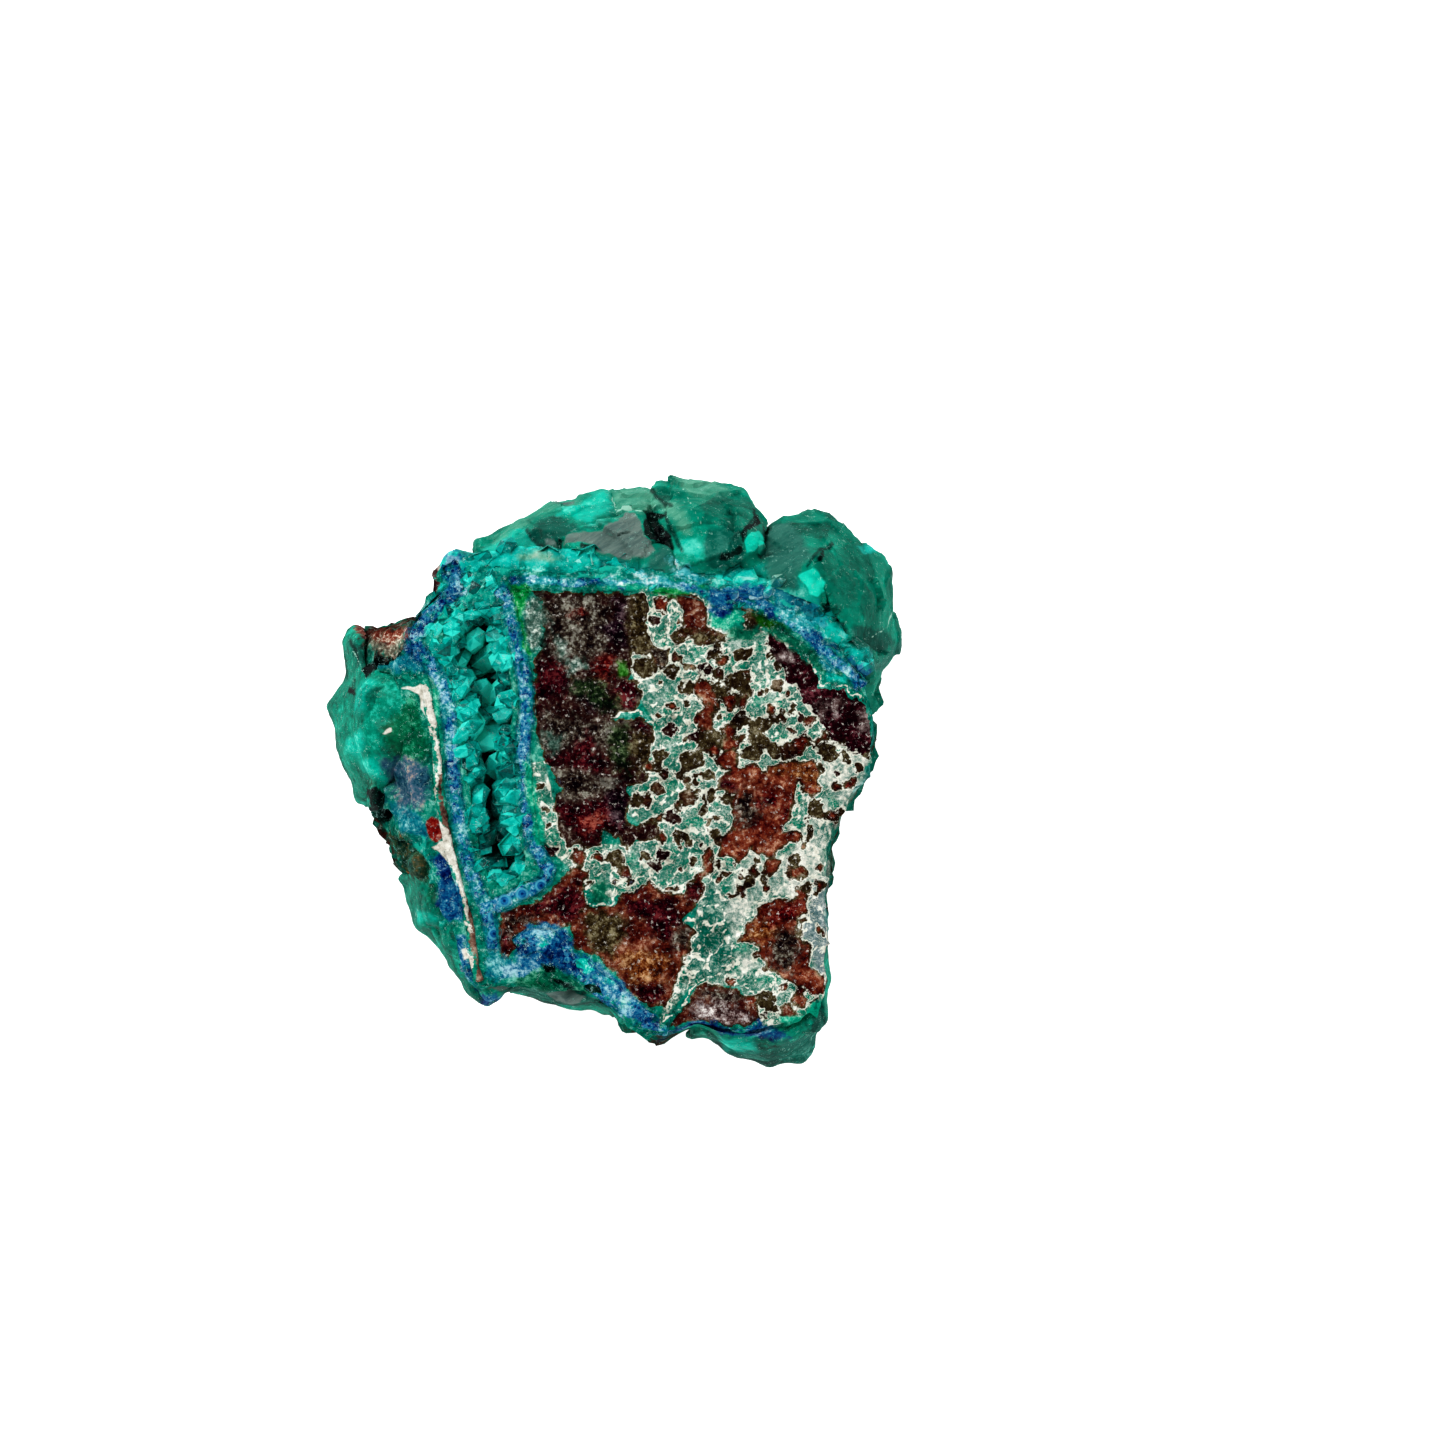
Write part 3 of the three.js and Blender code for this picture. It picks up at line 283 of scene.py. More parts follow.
# Patches of other minerals and other browns on the face, by kind. Some kinds are painted light and
# shade instead: lit is painted light, dim and dark are painted shade in creases, gaps and hollows,
# and the pale facet patches of the crest are painted reflections.
PATCHES = {
    "sliver": [
        [(-18, 13.2), (-17.4, 15), (-16.6, 16.6), (-15.4, 18), (-14.8, 17.6), (-14.8, 16.4), (-15.2, 15.4),
         (-15.8, 14.6), (-16.8, 13.4)],
    ],
    "taupe": [
        [(-6.3, 14.9), (-1.9, 14.9), (-0.4, 13.6), (-1.1, 12.2), (-1, 10.6), (-2, 9.7), (-5.4, 10),
         (-5.8, 12.4)],
        [(-6.2, 4.9), (-3, 4.6), (-0.6, 4.2), (-0.5, 2), (-1.7, 2.4), (-3.8, 2.4), (-5, 1.8), (-6.2, 2.6)],
        [(-5.2, 0.2), (-3, 0.3), (-2, -0.6), (0.4, -0.8), (-1.6, -1.9), (-3.4, -2.6), (-4.6, -2.2)],
        [(-9.4, -12.2), (-7, -12.2), (-8.6, -13.4), (-9.4, -14.8), (-9.9, -13.6)],
        [(4.6, -13), (6.4, -13.3), (6.1, -15), (4.9, -15)],
        [(3.2, 10.6), (4.1, 10.8), (4.8, 9.9), (4.2, 8.7), (3.4, 8.7)],
        [(10, -2), (11.4, -1.6), (12, -3.4), (11.4, -4.6), (10, -4.4)],
        [(13.4, -13.4), (15, -13.2), (15.4, -15), (14.6, -17), (13, -16)],
        [(7, -18.6), (9.4, -18.4), (10.6, -19.2), (8.6, -19.6)],
    ],
    "maroon": [
        [(-7.1, 9.6), (-5.2, 9.6), (-4, 8.8), (-3.8, 7.6), (-4.4, 6.4), (-6.2, 6.2), (-7.1, 4), (-6.6, 3.4)],
        [(0.8, 8), (2, 7.8), (2.1, 6.4), (1.5, 5.4), (0.3, 5.3), (-0.6, 6.6), (0, 7.6)],
        [(1.2, 4.5), (2.5, 4.6), (3, 3.4), (2, 2.9)],
        [(-3.6, 2.6), (-2.6, 3.4), (-1.8, 3), (-1.8, 1.6), (-0.6, 1.2), (-0.8, 0), (-2.8, 0.2), (-4.4, 0.8),
         (-6, 0.9), (-6.2, 1.6), (-4.4, 1.7), (-3.4, 1.4)],
        [(-5.4, -2.4), (-3.6, -2.7), (-1.2, -2.2), (0.8, -1.6), (0.8, -4.6), (-0.8, -4.8), (-1.6, -5.8),
         (-3.4, -5.2), (-4.6, -4.2), (-5.2, -3.2)],
        [(0.6, -10.6), (5, -10.8), (5.4, -12.6), (4, -14.4), (2.4, -13), (0.8, -11.6)],
        [(0.8, -17.9), (4.2, -17.8), (4, -19.6), (2, -19.6)],
        [(-6, -10.6), (-3, -8.8), (-2.8, -12), (-4, -12.8), (-6.6, -12), (-9.4, -12), (-9.4, -11.6)],
        [(-9.9, -13.4), (-9.2, -13.6), (-9, -15.6), (-9.7, -16.1)],
        [(6, -9.6), (7.2, -9), (7.2, -11), (6.1, -11.2)],
        [(8.5, -0.3), (9.9, 0), (10, -1.2), (8.7, -1.2)],
    ],
    "ink": [
        [(-1.8, 12.4), (-0.2, 12.8), (-0.2, 14.8), (1, 14.6), (0.8, 12.6), (1, 10.4), (0.2, 10.6),
         (-0.6, 11.4)],
        [(-4.6, 7.9), (-3.9, 7), (-2.6, 5.4), (-0.6, 5.1), (-0.4, 4.2), (0.8, 4.2), (-0.2, 5.9), (-2.2, 6.6)],
        [(-0.8, -1.6), (0.9, -1.4), (0.9, -4), (0, -4.7), (-0.8, -3.4)],
        [(15.7, 7.4), (17, 7.8), (17.6, 6.4), (17, 5.2), (16, 5.9)],
        [(13.1, 11), (14, 11), (13.9, 9.4), (13.2, 10)],
    ],
    "red": [
        [(-1.4, 9.8), (-0.2, 9.9), (-0.3, 8.4), (-1.2, 8.2), (-2.2, 8.6), (-1.9, 9.3)],
        [(-3.9, 13.6), (-3.2, 13.8), (-2.4, 13.5), (-3, 13.1)],
        [(-3.4, -4), (-1.2, -3.4), (-1.4, -5), (-2.6, -5)],
        [(11.6, -1.7), (13.3, -1.6), (13.9, -2.6), (12.6, -3), (11.8, -2.6)],
        [(13.8, -2.7), (15, -2.3), (14.8, -3.9), (14, -4)],
        [(19.4, -0.3), (20.5, -0.2), (20, -1.6), (19.4, -1.4)],
        [(12.6, -12), (15.8, -11), (15.2, -12.6), (13.2, -13)],
        [(19.6, 1.2), (20.6, 1.2), (20.6, 0.2)],
    ],
    "moss": [
        [(-3.8, 8), (-1.5, 7.9), (-1, 6.8), (0, 6.3), (0.2, 5.2), (-1.2, 5.2), (-2.2, 6.2), (-3.6, 6.6)],
        [(-0.3, 4), (1.2, 4), (1.4, 1.5), (1, 0), (-0.2, 0.2), (-0.5, 2)],
    ],
    "leaf": [
        [(0.1, 9.4), (0.8, 9.3), (1, 8.3), (0.3, 8.1)],
        [(11.6, 13.6), (12.8, 13.6), (14.2, 12.6), (15.4, 11), (14.4, 10.9), (13.4, 11.9), (12.2, 12.4)],
    ],
    "olive": [
        [(-2.8, -11.8), (0.4, -11.8), (1, -12.6), (0.6, -14.6), (-0.4, -15.8), (-1.8, -15.4), (-2.8, -13.4)],
        [(1, 15.1), (2.5, 15.1), (2.9, 12.6), (3.2, 10.8), (2.4, 9.6), (1.2, 10.6), (1, 12.8)],
        [(1.2, 3.4), (3.2, 3.2), (2.9, 1.4), (2, 0.2), (1.2, 0.4)],
        [(4.4, 12.4), (6, 12), (8, 12), (9.3, 11.6), (9, 10.9), (6.6, 10.6), (4.6, 10.9)],
    ],
    "amber": [
        [(0.4, -15), (3.6, -15.2), (4.8, -16), (4.4, -17.6), (1.4, -17.8), (0, -16.4)],
        [(10.4, -14.2), (12.4, -12.4), (13.6, -13.2), (12.6, -14.6)],
        [(13, 0.2), (15.4, 0.9), (17, 0.8), (17, -1.2), (15.6, -0.6)],
        [(2.7, 9.6), (3.3, 9.4), (3.1, 8.6), (2.6, 8.8)],
    ],
    "foam": [
        [(6.6, -19.8), (8.2, -19.4), (10.4, -20.1), (11.6, -21.1), (9.6, -21.6), (6.6, -21.3)],
        [(14, 10.3), (14.9, 9.5), (14.6, 9.2), (13.9, 9.8)],
        [(17.2, 5.8), (17.6, 5.2), (17.3, 4.8)],
        [(17.9, 5.7), (18.9, 5.8), (18.6, 5.3)],
        [(20.8, 4.8), (21.8, 4.9), (21.6, 3.6), (21, 3.9)],
    ],
    "cells": [
        [(-6.7, 0.6), (-5.8, 0.5), (-4.9, -0.6), (-4.5, -1.6), (-5.3, -2.2), (-6, -1.8), (-6.6, -0.6)],
        [(-1, -9), (1.8, -9), (1.9, -9.8), (0.4, -10.2), (-0.3, -9.9)],
    ],
    "peppered": [
        [(-7.9, 14.6), (-6.6, 14.8), (-6, 13.8), (-5.9, 12.4), (-6.2, 10.8), (-7.2, 10.4), (-7.7, 11.6)],
        [(-6.4, 3.4), (-5.6, 3.3), (-4.6, 2.8), (-5.3, 1.6), (-6.1, 2.2)],
        [(-5, 11.2), (-4.4, 10.8), (-4, 8.6), (-2.4, 8.8), (-3, 9.4), (-4.6, 9.8)],
    ],
    "pale": [
        [(11.2, -5.3), (12.6, -7.8), (14.7, -6.7), (17.8, -2.3), (18.8, -3.6), (17.6, -6.6), (17.6, -11.2),
         (18, -14.2), (18, -17.3), (16.6, -17.2), (16.6, -14.6), (15.1, -13.8), (16.1, -10.8), (14.3, -10.2),
         (12.2, -10.8), (10.9, -12.4), (10.3, -14), (9.3, -12.1), (10.1, -9.1), (10.9, -7.6)],
        [(17.4, 1.4), (21.5, 1.5), (21, -0.6), (19.6, -2.8), (17.6, -0.9)],
        [(10.2, -15.6), (11.6, -15), (11.8, -16.4), (10.6, -17)],
    ],
    "mist": [
        [(15.2, -9.8), (16.8, -9.2), (18.8, -9.6), (18.8, -17.6), (16.7, -17.4), (16.3, -15), (15.3, -13.6),
         (16.2, -11.2)],
    ],
    "green": [
        [(-9.2, 16.2), (-8.4, 16.5), (-7.4, 16.2), (-7.3, 15.4), (-7.7, 14.6), (-8.2, 13.6), (-7.6, 11.2),
         (-7.2, 10), (-8, 9.8), (-8.5, 11), (-8.9, 13), (-9.1, 14.6)],
        [(2.6, 16.1), (4, 16.4), (6, 16.1), (7.6, 15.8), (7.4, 15.2), (5, 15.1), (3, 15.2)],
    ],
    "deep": [
        [(-2, -9.2), (-1, -9.2), (-0.6, -10.4), (-0.8, -11.1), (-2.2, -11)],
        [(-8.6, -16.9), (-5, -16.5), (-3.4, -17.6), (-0.8, -19.4), (-2, -20.2), (-5, -19.4), (-8.6, -18.6)],
        [(13, 11.9), (13.8, 12.6), (15.2, 11.6), (16.6, 10.6), (19, 9.4), (20, 8), (18, 7.8), (15.8, 9.8)],
        [(9.4, 12.3), (12, 12.4), (12.6, 11.6), (11, 11.2), (9.4, 11.2)],
    ],
    "fresh": [
        [(13.8, -20.6), (16, -20.6), (16.6, -19.4), (18.1, -19.1), (17.6, -21), (16.8, -22), (14.4, -22.2)],
        [(8, 13.6), (9.2, 13.2), (10.2, 13.8), (10.9, 12.9), (9.4, 12.2), (8, 12.4)],
        [(-7.8, 1), (-7.2, 0.4), (-6.8, -1), (-6.6, -2.6), (-6.1, -4.4), (-6, -6), (-6.7, -6.2), (-7.2, -4),
         (-7.6, -2)],
        [(-15.9, 7.2), (-15.2, 7), (-14.9, 4.6), (-14.8, 2), (-15.3, 3), (-15.6, 5.4)],
        [(-1, 15.9), (2.4, 16.1), (2.4, 15.5), (-0.8, 15.4)],
        [(21, 7.4), (22, 7.2), (21.8, 6.2), (21, 6.6)],
    ],
    "turquoise": [
        [(-14.8, 18.6), (-12.5, 18.6), (-8.8, 18.2), (-4.8, 18.6), (-1.4, 18.4), (3.7, 17.5), (8.4, 16.9),
         (10.9, 16.4), (9, 15.5), (5.4, 16.3), (0.3, 16.3), (-4.8, 16.6), (-7.3, 17), (-9.2, 16.7),
         (-10.4, 15.6), (-10.4, 14.3), (-12.8, 14), (-14, 13.2), (-15.2, 11.8), (-15.5, 9.8), (-16.7, 9.8),
         (-16.4, 12), (-14.4, 14.1), (-13, 15), (-12.8, 17), (-13, 18)],
        [(10.9, 16.4), (12.2, 17.9), (15.6, 16.3), (18.3, 13), (21.7, 9), (21.9, 6.2), (20.8, 7), (19.8, 8.8),
         (17.7, 10.6), (15.9, 12.3), (13.4, 13.4), (12.6, 14.6)],
        [(-17.3, -5.2), (-16.2, -5.4), (-15.9, -7.6), (-15.3, -9), (-15.8, -10), (-16.3, -8), (-17, -6.8)],
    ],
    "cyan": [
        [(-8.2, 17.9), (-5.2, 17.8), (-4, 18.2), (-1.6, 18.3), (-1.6, 17.2), (-5, 17), (-8, 17.2)],
        [(17.3, 13.2), (18.4, 13.6), (19.2, 12.4), (19.4, 11), (18.6, 10.7), (17.6, 11.6)],
        [(8.4, 16.5), (10, 16.9), (10.8, 16.6), (10.2, 16), (8.6, 16)],
        [(11.5, 16.6), (12.9, 16.8), (12.8, 15.9), (11.8, 16)],
        [(20.4, 19.2), (21.6, 19.3), (22.2, 18.7), (20.8, 18.5)],
        [(17.6, 8.4), (19.4, 8.3), (19.6, 7.8), (18, 7.8)],
        [(-3.5, -15.8), (-2.3, -15.7), (-1.6, -16.6), (-2.6, -17.1), (-3.4, -16.7)],
        [(-1.1, -17.1), (-0.3, -17.2), (0.2, -17.9), (-0.6, -17.9)],
        [(-6.6, -14.6), (-5.8, -14.4), (-5.6, -15.2), (-6.4, -15.4)],
    ],
    "fibres": [
        [(1.4, 17.3), (2.3, 17.3), (2.8, 16.8), (2, 16.4), (1.5, 16.8)],
        [(4.2, 18.1), (5.2, 18), (6.2, 17.2), (7.8, 16.4), (7.6, 15.9), (5.6, 16.4), (4.8, 17.2)],
        [(-0.9, 16.4), (0, 16.6), (0.5, 16), (-0.4, 15.9)],
        [(-7.6, 16.5), (-5, 16.4), (-4.6, 15.9), (-7, 15.9)],
        [(1.6, 16.5), (4.4, 16.5), (4.6, 16), (2, 15.9)],
        [(13.6, 13.8), (15, 13.6), (17.8, 13.4), (17.6, 12.2), (16, 12.2), (14.4, 12.8)],
    ],
    "blue": [
        [(7.8, 15.6), (9.6, 15.9), (11.2, 16), (13, 15.4), (13.6, 13.8), (13.2, 13), (12.4, 13.8), (11.4, 14.6),
         (10.2, 14.4), (9.4, 13.3), (8, 13.3)],
        [(15, 13.1), (16.8, 12.4), (18.8, 10.4), (18.2, 9.6), (16.6, 10.8), (15.2, 12)],
        [(19.8, 9.6), (21.4, 8.8), (22, 7.4), (20.6, 7.2), (19.8, 8.2)],
        [(-14.6, 18.5), (-13.1, 18.5), (-13, 16.4), (-12.8, 14.8), (-14, 14.4), (-15.4, 14.2), (-17, 13.4),
         (-17.6, 11.4), (-18.2, 10.4), (-16.2, 9), (-15.6, 10), (-16.8, 11), (-16, 12.6), (-14.6, 13.6),
         (-14.2, 16)],
        [(-15.7, -7), (-14.6, -6.9), (-14, -8.4), (-13.1, -10.4), (-13, -12.4), (-14.2, -12.6), (-15.6, -11.6),
         (-15.7, -10.2), (-15, -9)],
        [(-8.6, -15.8), (-8.3, -13.8), (-7, -12.8), (-5.2, -12.8), (-4.1, -13.8), (-3.6, -15.2), (-1.2, -16.4),
         (0.4, -18), (2.6, -20), (3.6, -21.4), (2, -21.4), (-1, -18.6), (-3.6, -17), (-5.6, -16.4),
         (-8, -16.8)],
        [(3.2, -22.6), (4.6, -22.1), (6.4, -21.6), (8.2, -21.4), (9.4, -21.9), (10.8, -21.8), (12.2, -21),
         (13.2, -21.6), (14.8, -22.5), (13.2, -22.8), (11.6, -22.4), (9.8, -22.5), (7.4, -21.9), (5.2, -22.4)],
        [(-13.6, -14), (-12.8, -14), (-12.6, -16.4), (-12, -18), (-12.9, -17.6), (-13.8, -15.6)],
        [(-9.8, -16.6), (-7.6, -16.2), (-6.6, -16.6), (-7.8, -17.4), (-9.6, -17.4)],
        [(-12.4, -18.6), (-10.4, -18.9), (-10, -19.8), (-11.8, -20)],
    ],
    "navy": [
        [(8.1, 13.9), (9.6, 14.1), (9.7, 13.4), (8.4, 13.2)],
        [(12.4, 14), (13.4, 13.6), (13.5, 12.9), (12.9, 13.1)],
        [(17, 11), (18.2, 10.4), (18.4, 9.8), (17.6, 9.9)],
        [(0, 15.9), (0.6, 15.9), (0.6, 15.5), (0.1, 15.5)],
        [(-15.4, -7), (-14.6, -7), (-13.9, -8.6), (-14.2, -9.8), (-15, -8.6)],
        [(20.2, 9), (21, 8.4), (20.6, 7.9)],
        [(4, -22.2), (6.4, -21.7), (8.2, -21.5), (9.6, -22), (12, -21.8), (12.2, -22.3), (7.4, -21.9),
         (5, -22.4)],
        [(-4.6, -15), (-3.6, -15.4), (-2.8, -16.6), (-3.6, -16.8), (-4.6, -15.9)],
        [(-0.6, -18), (0.4, -18.4), (0.6, -19.4)],
    ],
    "speckled": [
        [(-20, 0.8), (-18.8, 1.2), (-16.9, 1), (-16, 0.4), (-15.9, -1), (-16.2, -2.2), (-16.8, -3.2),
         (-18.2, -2.8), (-19, -1.6), (-19.8, 0)],
    ],
    "seablue": [
        [(-19.2, -2), (-17, -3.2), (-16, -4.4), (-16, -5.6), (-17.6, -4.8), (-18.8, -3.6)],
        [(-20.8, 9.2), (-18, 10.2), (-16.4, 9.8), (-16, 8.4), (-17.2, 8.6), (-19.4, 8.6)],
        [(13.4, 16.2), (16, 15.2), (17.2, 14.4), (16.6, 13.4), (14, 13.8), (13, 14.8)],
        [(17, 10.2), (19.6, 9.8), (20.2, 8.6), (17.8, 8.6)],
        [(-11.2, -15.6), (-9.6, -15.6), (-8, -16.4), (-8.4, -17.4), (-10.8, -17.6)],
    ],
    # Painted shade: dark patches where shade falls in creases, gaps and hollows.
    "dark": [
        [(-21.9, -1.6), (-20.6, -1.2), (-19.4, -2), (-19.2, -3), (-19.6, -4.6), (-21, -3.9)],
        [(-22, 8.8), (-20.6, 9.7), (-19, 10.2), (-18, 10.8), (-18.3, 10), (-20, 9), (-21.4, 8.1)],
        [(2.2, 21.1), (2.3, 20.2), (2.9, 19.5), (3.8, 19.4), (5, 18.8), (4.6, 20), (3.6, 21.4), (4.2, 22),
         (3.2, 22.2), (2.4, 21.8)],
        [(-5, 19.9), (-4.6, 19.8), (-4.6, 18.9), (-4.9, 18.9)],
        [(-3.2, 19.4), (-2, 19.3), (-1.4, 19.1), (-1.9, 18.7), (-3, 18.9)],
        [(11.4, 22.5), (11.9, 22.1), (12.2, 21.2), (11, 20.4), (10.8, 19.4), (10.4, 20.2), (10.9, 20.9),
         (11.6, 21.4)],
        [(8.8, 18.6), (9.6, 18.6), (10.6, 19.3), (10.4, 18.4), (9.4, 18), (8.8, 18.2)],
        [(16.7, 17.6), (17.2, 18.5), (17.6, 18.8), (17.3, 17.8)],
        [(-22.6, 7.2), (-22.5, 6.6), (-23.3, 6.8), (-23.4, 7.2)],
        [(-6.3, -16.3), (-5.3, -16.4), (-5.1, -16.9), (-6, -17)],
        [(-5.5, -17.5), (-4.6, -17.6), (-3.5, -18.3), (-3.8, -18.6), (-4.8, -18.1)],
        [(-2.7, -17.9), (-1.2, -18.2), (-0.8, -18.9), (-1.9, -19), (-2.6, -18.7)],
        [(-2, -20), (-1, -20.4), (-2, -20.6)],
    ],
    "ochre": [
        [(-19.4, -5), (-17.5, -4.9), (-17.1, -6.4), (-16.4, -7.8), (-16, -9.2), (-16.8, -9.6), (-18.4, -9.4),
         (-18.6, -7.4), (-19.3, -6)],
        [(-21.5, -1.2), (-20.9, -1.1), (-20.9, -1.5)],
    ],
    "rust": [
        [(-16.2, -4.4), (-15.7, -3.7), (-15, -4), (-14.7, -5.4), (-15.3, -6.1), (-15.9, -5.7)],
    ],
    "stained": [
        [(-22.6, 12.4), (-20.6, 12.6), (-18.2, 12.8), (-17.4, 12), (-18.2, 11.2), (-19.4, 10), (-20.6, 10.6),
         (-21.6, 11.4)],
        [(-21.6, 12.2), (-20, 12.4), (-18.6, 12.9), (-17.6, 12.5), (-17.6, 11.5), (-18.8, 10.9), (-20, 10.8),
         (-21.2, 11.4)],
    ],
    "shell": [
        [(-21.4, 11.3), (-19.8, 10.9), (-18.2, 11.3), (-17.8, 10.9), (-18.6, 10.3), (-20.2, 10), (-21.2, 10.6)],
    ],
    "white": [
        [(-18.5, 7.2), (-17.2, 7.3), (-16.4, 7.8), (-15.9, 7.1), (-15.3, 4.6), (-15.5, 3.9), (-16, 4.6),
         (-16.6, 5.4), (-16.7, 6.6), (-17.4, 6.9)],
        [(-15.7, -6.3), (-15, -6), (-14.2, -5.9), (-13.7, -7.2), (-13.1, -9.4), (-12.9, -10.6), (-13.4, -9.6),
         (-14.1, -8), (-15, -6.8)],
        [(-19.9, 3.3), (-19.2, 3.9), (-19.1, 3.5), (-19.7, 3.2)],
        [(-13.2, -15), (-12.6, -14.9), (-12.5, -15.7), (-13, -15.9)],
    ],
    "glass": [
        [(-20, 3.8), (-18.4, 5.2), (-17.4, 6.8), (-16.8, 6.2), (-16.6, 4.6), (-16, 3.6), (-15.8, 1.8),
         (-16.2, 0.6), (-17.4, 0.9), (-18.8, 1.1), (-19.8, 2)],
        [(-16.6, -9.6), (-15.8, -9.7), (-15.7, -11.2), (-16.4, -11.4)],
        [(-7.8, -18), (-5.2, -17.4), (-5.4, -18.9), (-7.6, -18.9)],
    ],
    "lit": [
        [(-22.6, 6), (-22.2, 7.4), (-21.4, 8), (-20.4, 7.8), (-21.3, 6.8), (-21.6, 5.4), (-22.2, 5)],
        [(-23.2, 2.6), (-22, 3.6), (-21.4, 2.4), (-22, 1.2), (-23.2, 1.8)],
        [(-22.2, 0.9), (-20.6, 1.3), (-19.6, -0.4), (-19.2, -1.6), (-20.6, -0.6), (-22, -0.2)],
        [(-12.2, 18.8), (-11.4, 19.7), (-8.2, 21), (-7.5, 20.4), (-6.8, 19.1), (-8.6, 18.7), (-10.6, 18.5)],
        [(-5.2, 21.8), (-3.4, 22.8), (-1.5, 23.9), (-0.9, 23.8), (-0.2, 22.2), (-1.6, 21.9), (-2, 21),
         (-3, 21.3), (-4, 21.8)],
        [(5.5, 19.6), (6.8, 19.9), (7.4, 18.8), (7, 17.9), (5.9, 18.4)],
        [(-17.8, -12), (-16, -12.4), (-14.6, -12.6), (-14.8, -13.2), (-17.4, -13)],
        [(-2.4, -19.4), (-0.8, -19), (-0.3, -19.8), (-1.6, -20.1)],
        [(8.6, -22.8), (11.8, -22.6), (12, -23.6), (9.2, -23.6)],
    ],
    "dim": [
        [(-7.4, 20.1), (-6.6, 21.3), (-5.5, 21.8), (-4, 21.4), (-3, 20.6), (-4.6, 20), (-4.7, 19), (-6.6, 19)],
        [(7.6, 20.6), (9.4, 21.2), (10.5, 20.4), (10.7, 18.8), (10.6, 17.4), (9.4, 16.9), (8, 17.2),
         (7.4, 18.8)],
        [(20, 12.4), (22.6, 12.2), (23.6, 11.2), (22.8, 10.2), (20.4, 10.4), (19.6, 11)],
        [(1.3, 22.9), (1.9, 22.3), (1.2, 22.2)],
        [(-3.2, 21.2), (-1.6, 21.1), (-0.6, 21.2), (-2.2, 20.5)],
        [(-23.2, 11.4), (-22.2, 11), (-21.2, 10), (-21.6, 9), (-22.6, 9)],
        [(14.4, -23.8), (16.4, -22.9), (16.6, -23.6), (14.8, -24.4)],
        [(-9.6, -17.2), (-4, -17.8), (-0.6, -19.2), (-0.8, -21), (-6, -20.6), (-9.6, -19.4)],
        [(7, -23), (9, -23), (13, -23.5), (16.4, -22.6), (16.9, -20.4), (17.9, -19.6), (18.2, -22), (16, -25.2),
         (12, -25.2), (8, -23.8)],
    ],
    # Painted reflection: pale grey facets that mirror the light.
    "grey": [
        [(-4.5, 19.3), (-4.3, 19.9), (-3, 20.4), (-1.6, 20.5), (-0.4, 21.1), (0.8, 21.8), (1.6, 21.8),
         (2.1, 21), (2.3, 20.1), (3, 19.2), (3.4, 18.6), (2.6, 18.2), (0.8, 18.1), (-0.6, 18.5), (-1.7, 18.7),
         (-1.9, 19.3), (-3.2, 19.5)],
        [(-5.6, 22.7), (-4.4, 23.2), (-3.5, 23.2), (-4.4, 22.8)],
        [(-6.2, 19.7), (-5.2, 19.7), (-5, 19), (-6, 19)],
        [(-11.4, -17.5), (-9.8, -17.3), (-7.9, -17.9), (-8, -18.5), (-9.6, -18.8), (-10.8, -18.4)],
        [(-6, -19.4), (-4.2, -18.6), (-2.6, -19.6), (-3.4, -20.3), (-5.2, -20.3)],
    ],
    # Painted reflection: grey-green facets that mirror the light.
    "sage": [
        [(-0.7, 23.9), (0.4, 24.3), (2, 24.4), (3, 24), (3.6, 22.7), (2, 22), (0, 22.1), (-0.4, 23)],
        [(3.4, 23), (4.8, 23), (5.8, 22), (6.4, 20.4), (5.6, 20.2), (4.8, 21.4)],
        [(5, 24.9), (8.6, 24.9), (9.4, 23.6), (7.6, 23), (6, 23.4)],
        [(-10.6, 20.2), (-7.4, 22.2), (-5.6, 23), (-3, 23.6), (-3.4, 23), (-5.2, 22.3), (-7.2, 21.6),
         (-9.4, 20.2)],
        [(-8.8, 18.6), (-6.4, 18.8), (-4.6, 18.3), (-5.4, 17.9), (-8, 18)],
    ],
    # Painted sheen: pale striated facets that mirror the light.
    "facet_sheen": [
        [(12.8, 20.9), (14.6, 21.1), (16, 19.8), (16.6, 18.4), (15.4, 17), (15.2, 15.6), (13.4, 15.2),
         (12.8, 17.2), (12.3, 19)],
        [(21.8, 8.4), (22, 9.4), (23, 10.4), (24.2, 11.4), (24.5, 10.6), (23.4, 9.2), (22.2, 7.8)],
        [(2.8, 18.4), (4.2, 19), (4.8, 17.6), (3.6, 17), (2.8, 17.4)],
        [(13.8, -22.9), (16.6, -22.6), (16.6, -23.3), (14.4, -23.5)],
    ],
    "gem": [
        [(10.9, 18.7), (10.8, 19.6), (11.3, 20.2), (12, 20.5), (12.4, 20.1), (12.3, 19.4), (11.8, 18.9)],
        [(15.4, 16.7), (16, 17), (16.8, 17.3), (17.2, 17), (17.6, 16), (17.5, 15.4), (17.1, 14.9), (16.4, 15.2),
         (16.1, 15.9)],
        [(9.9, 16.4), (10.7, 17.4), (11, 16.4), (10.6, 16)],
    ],
}
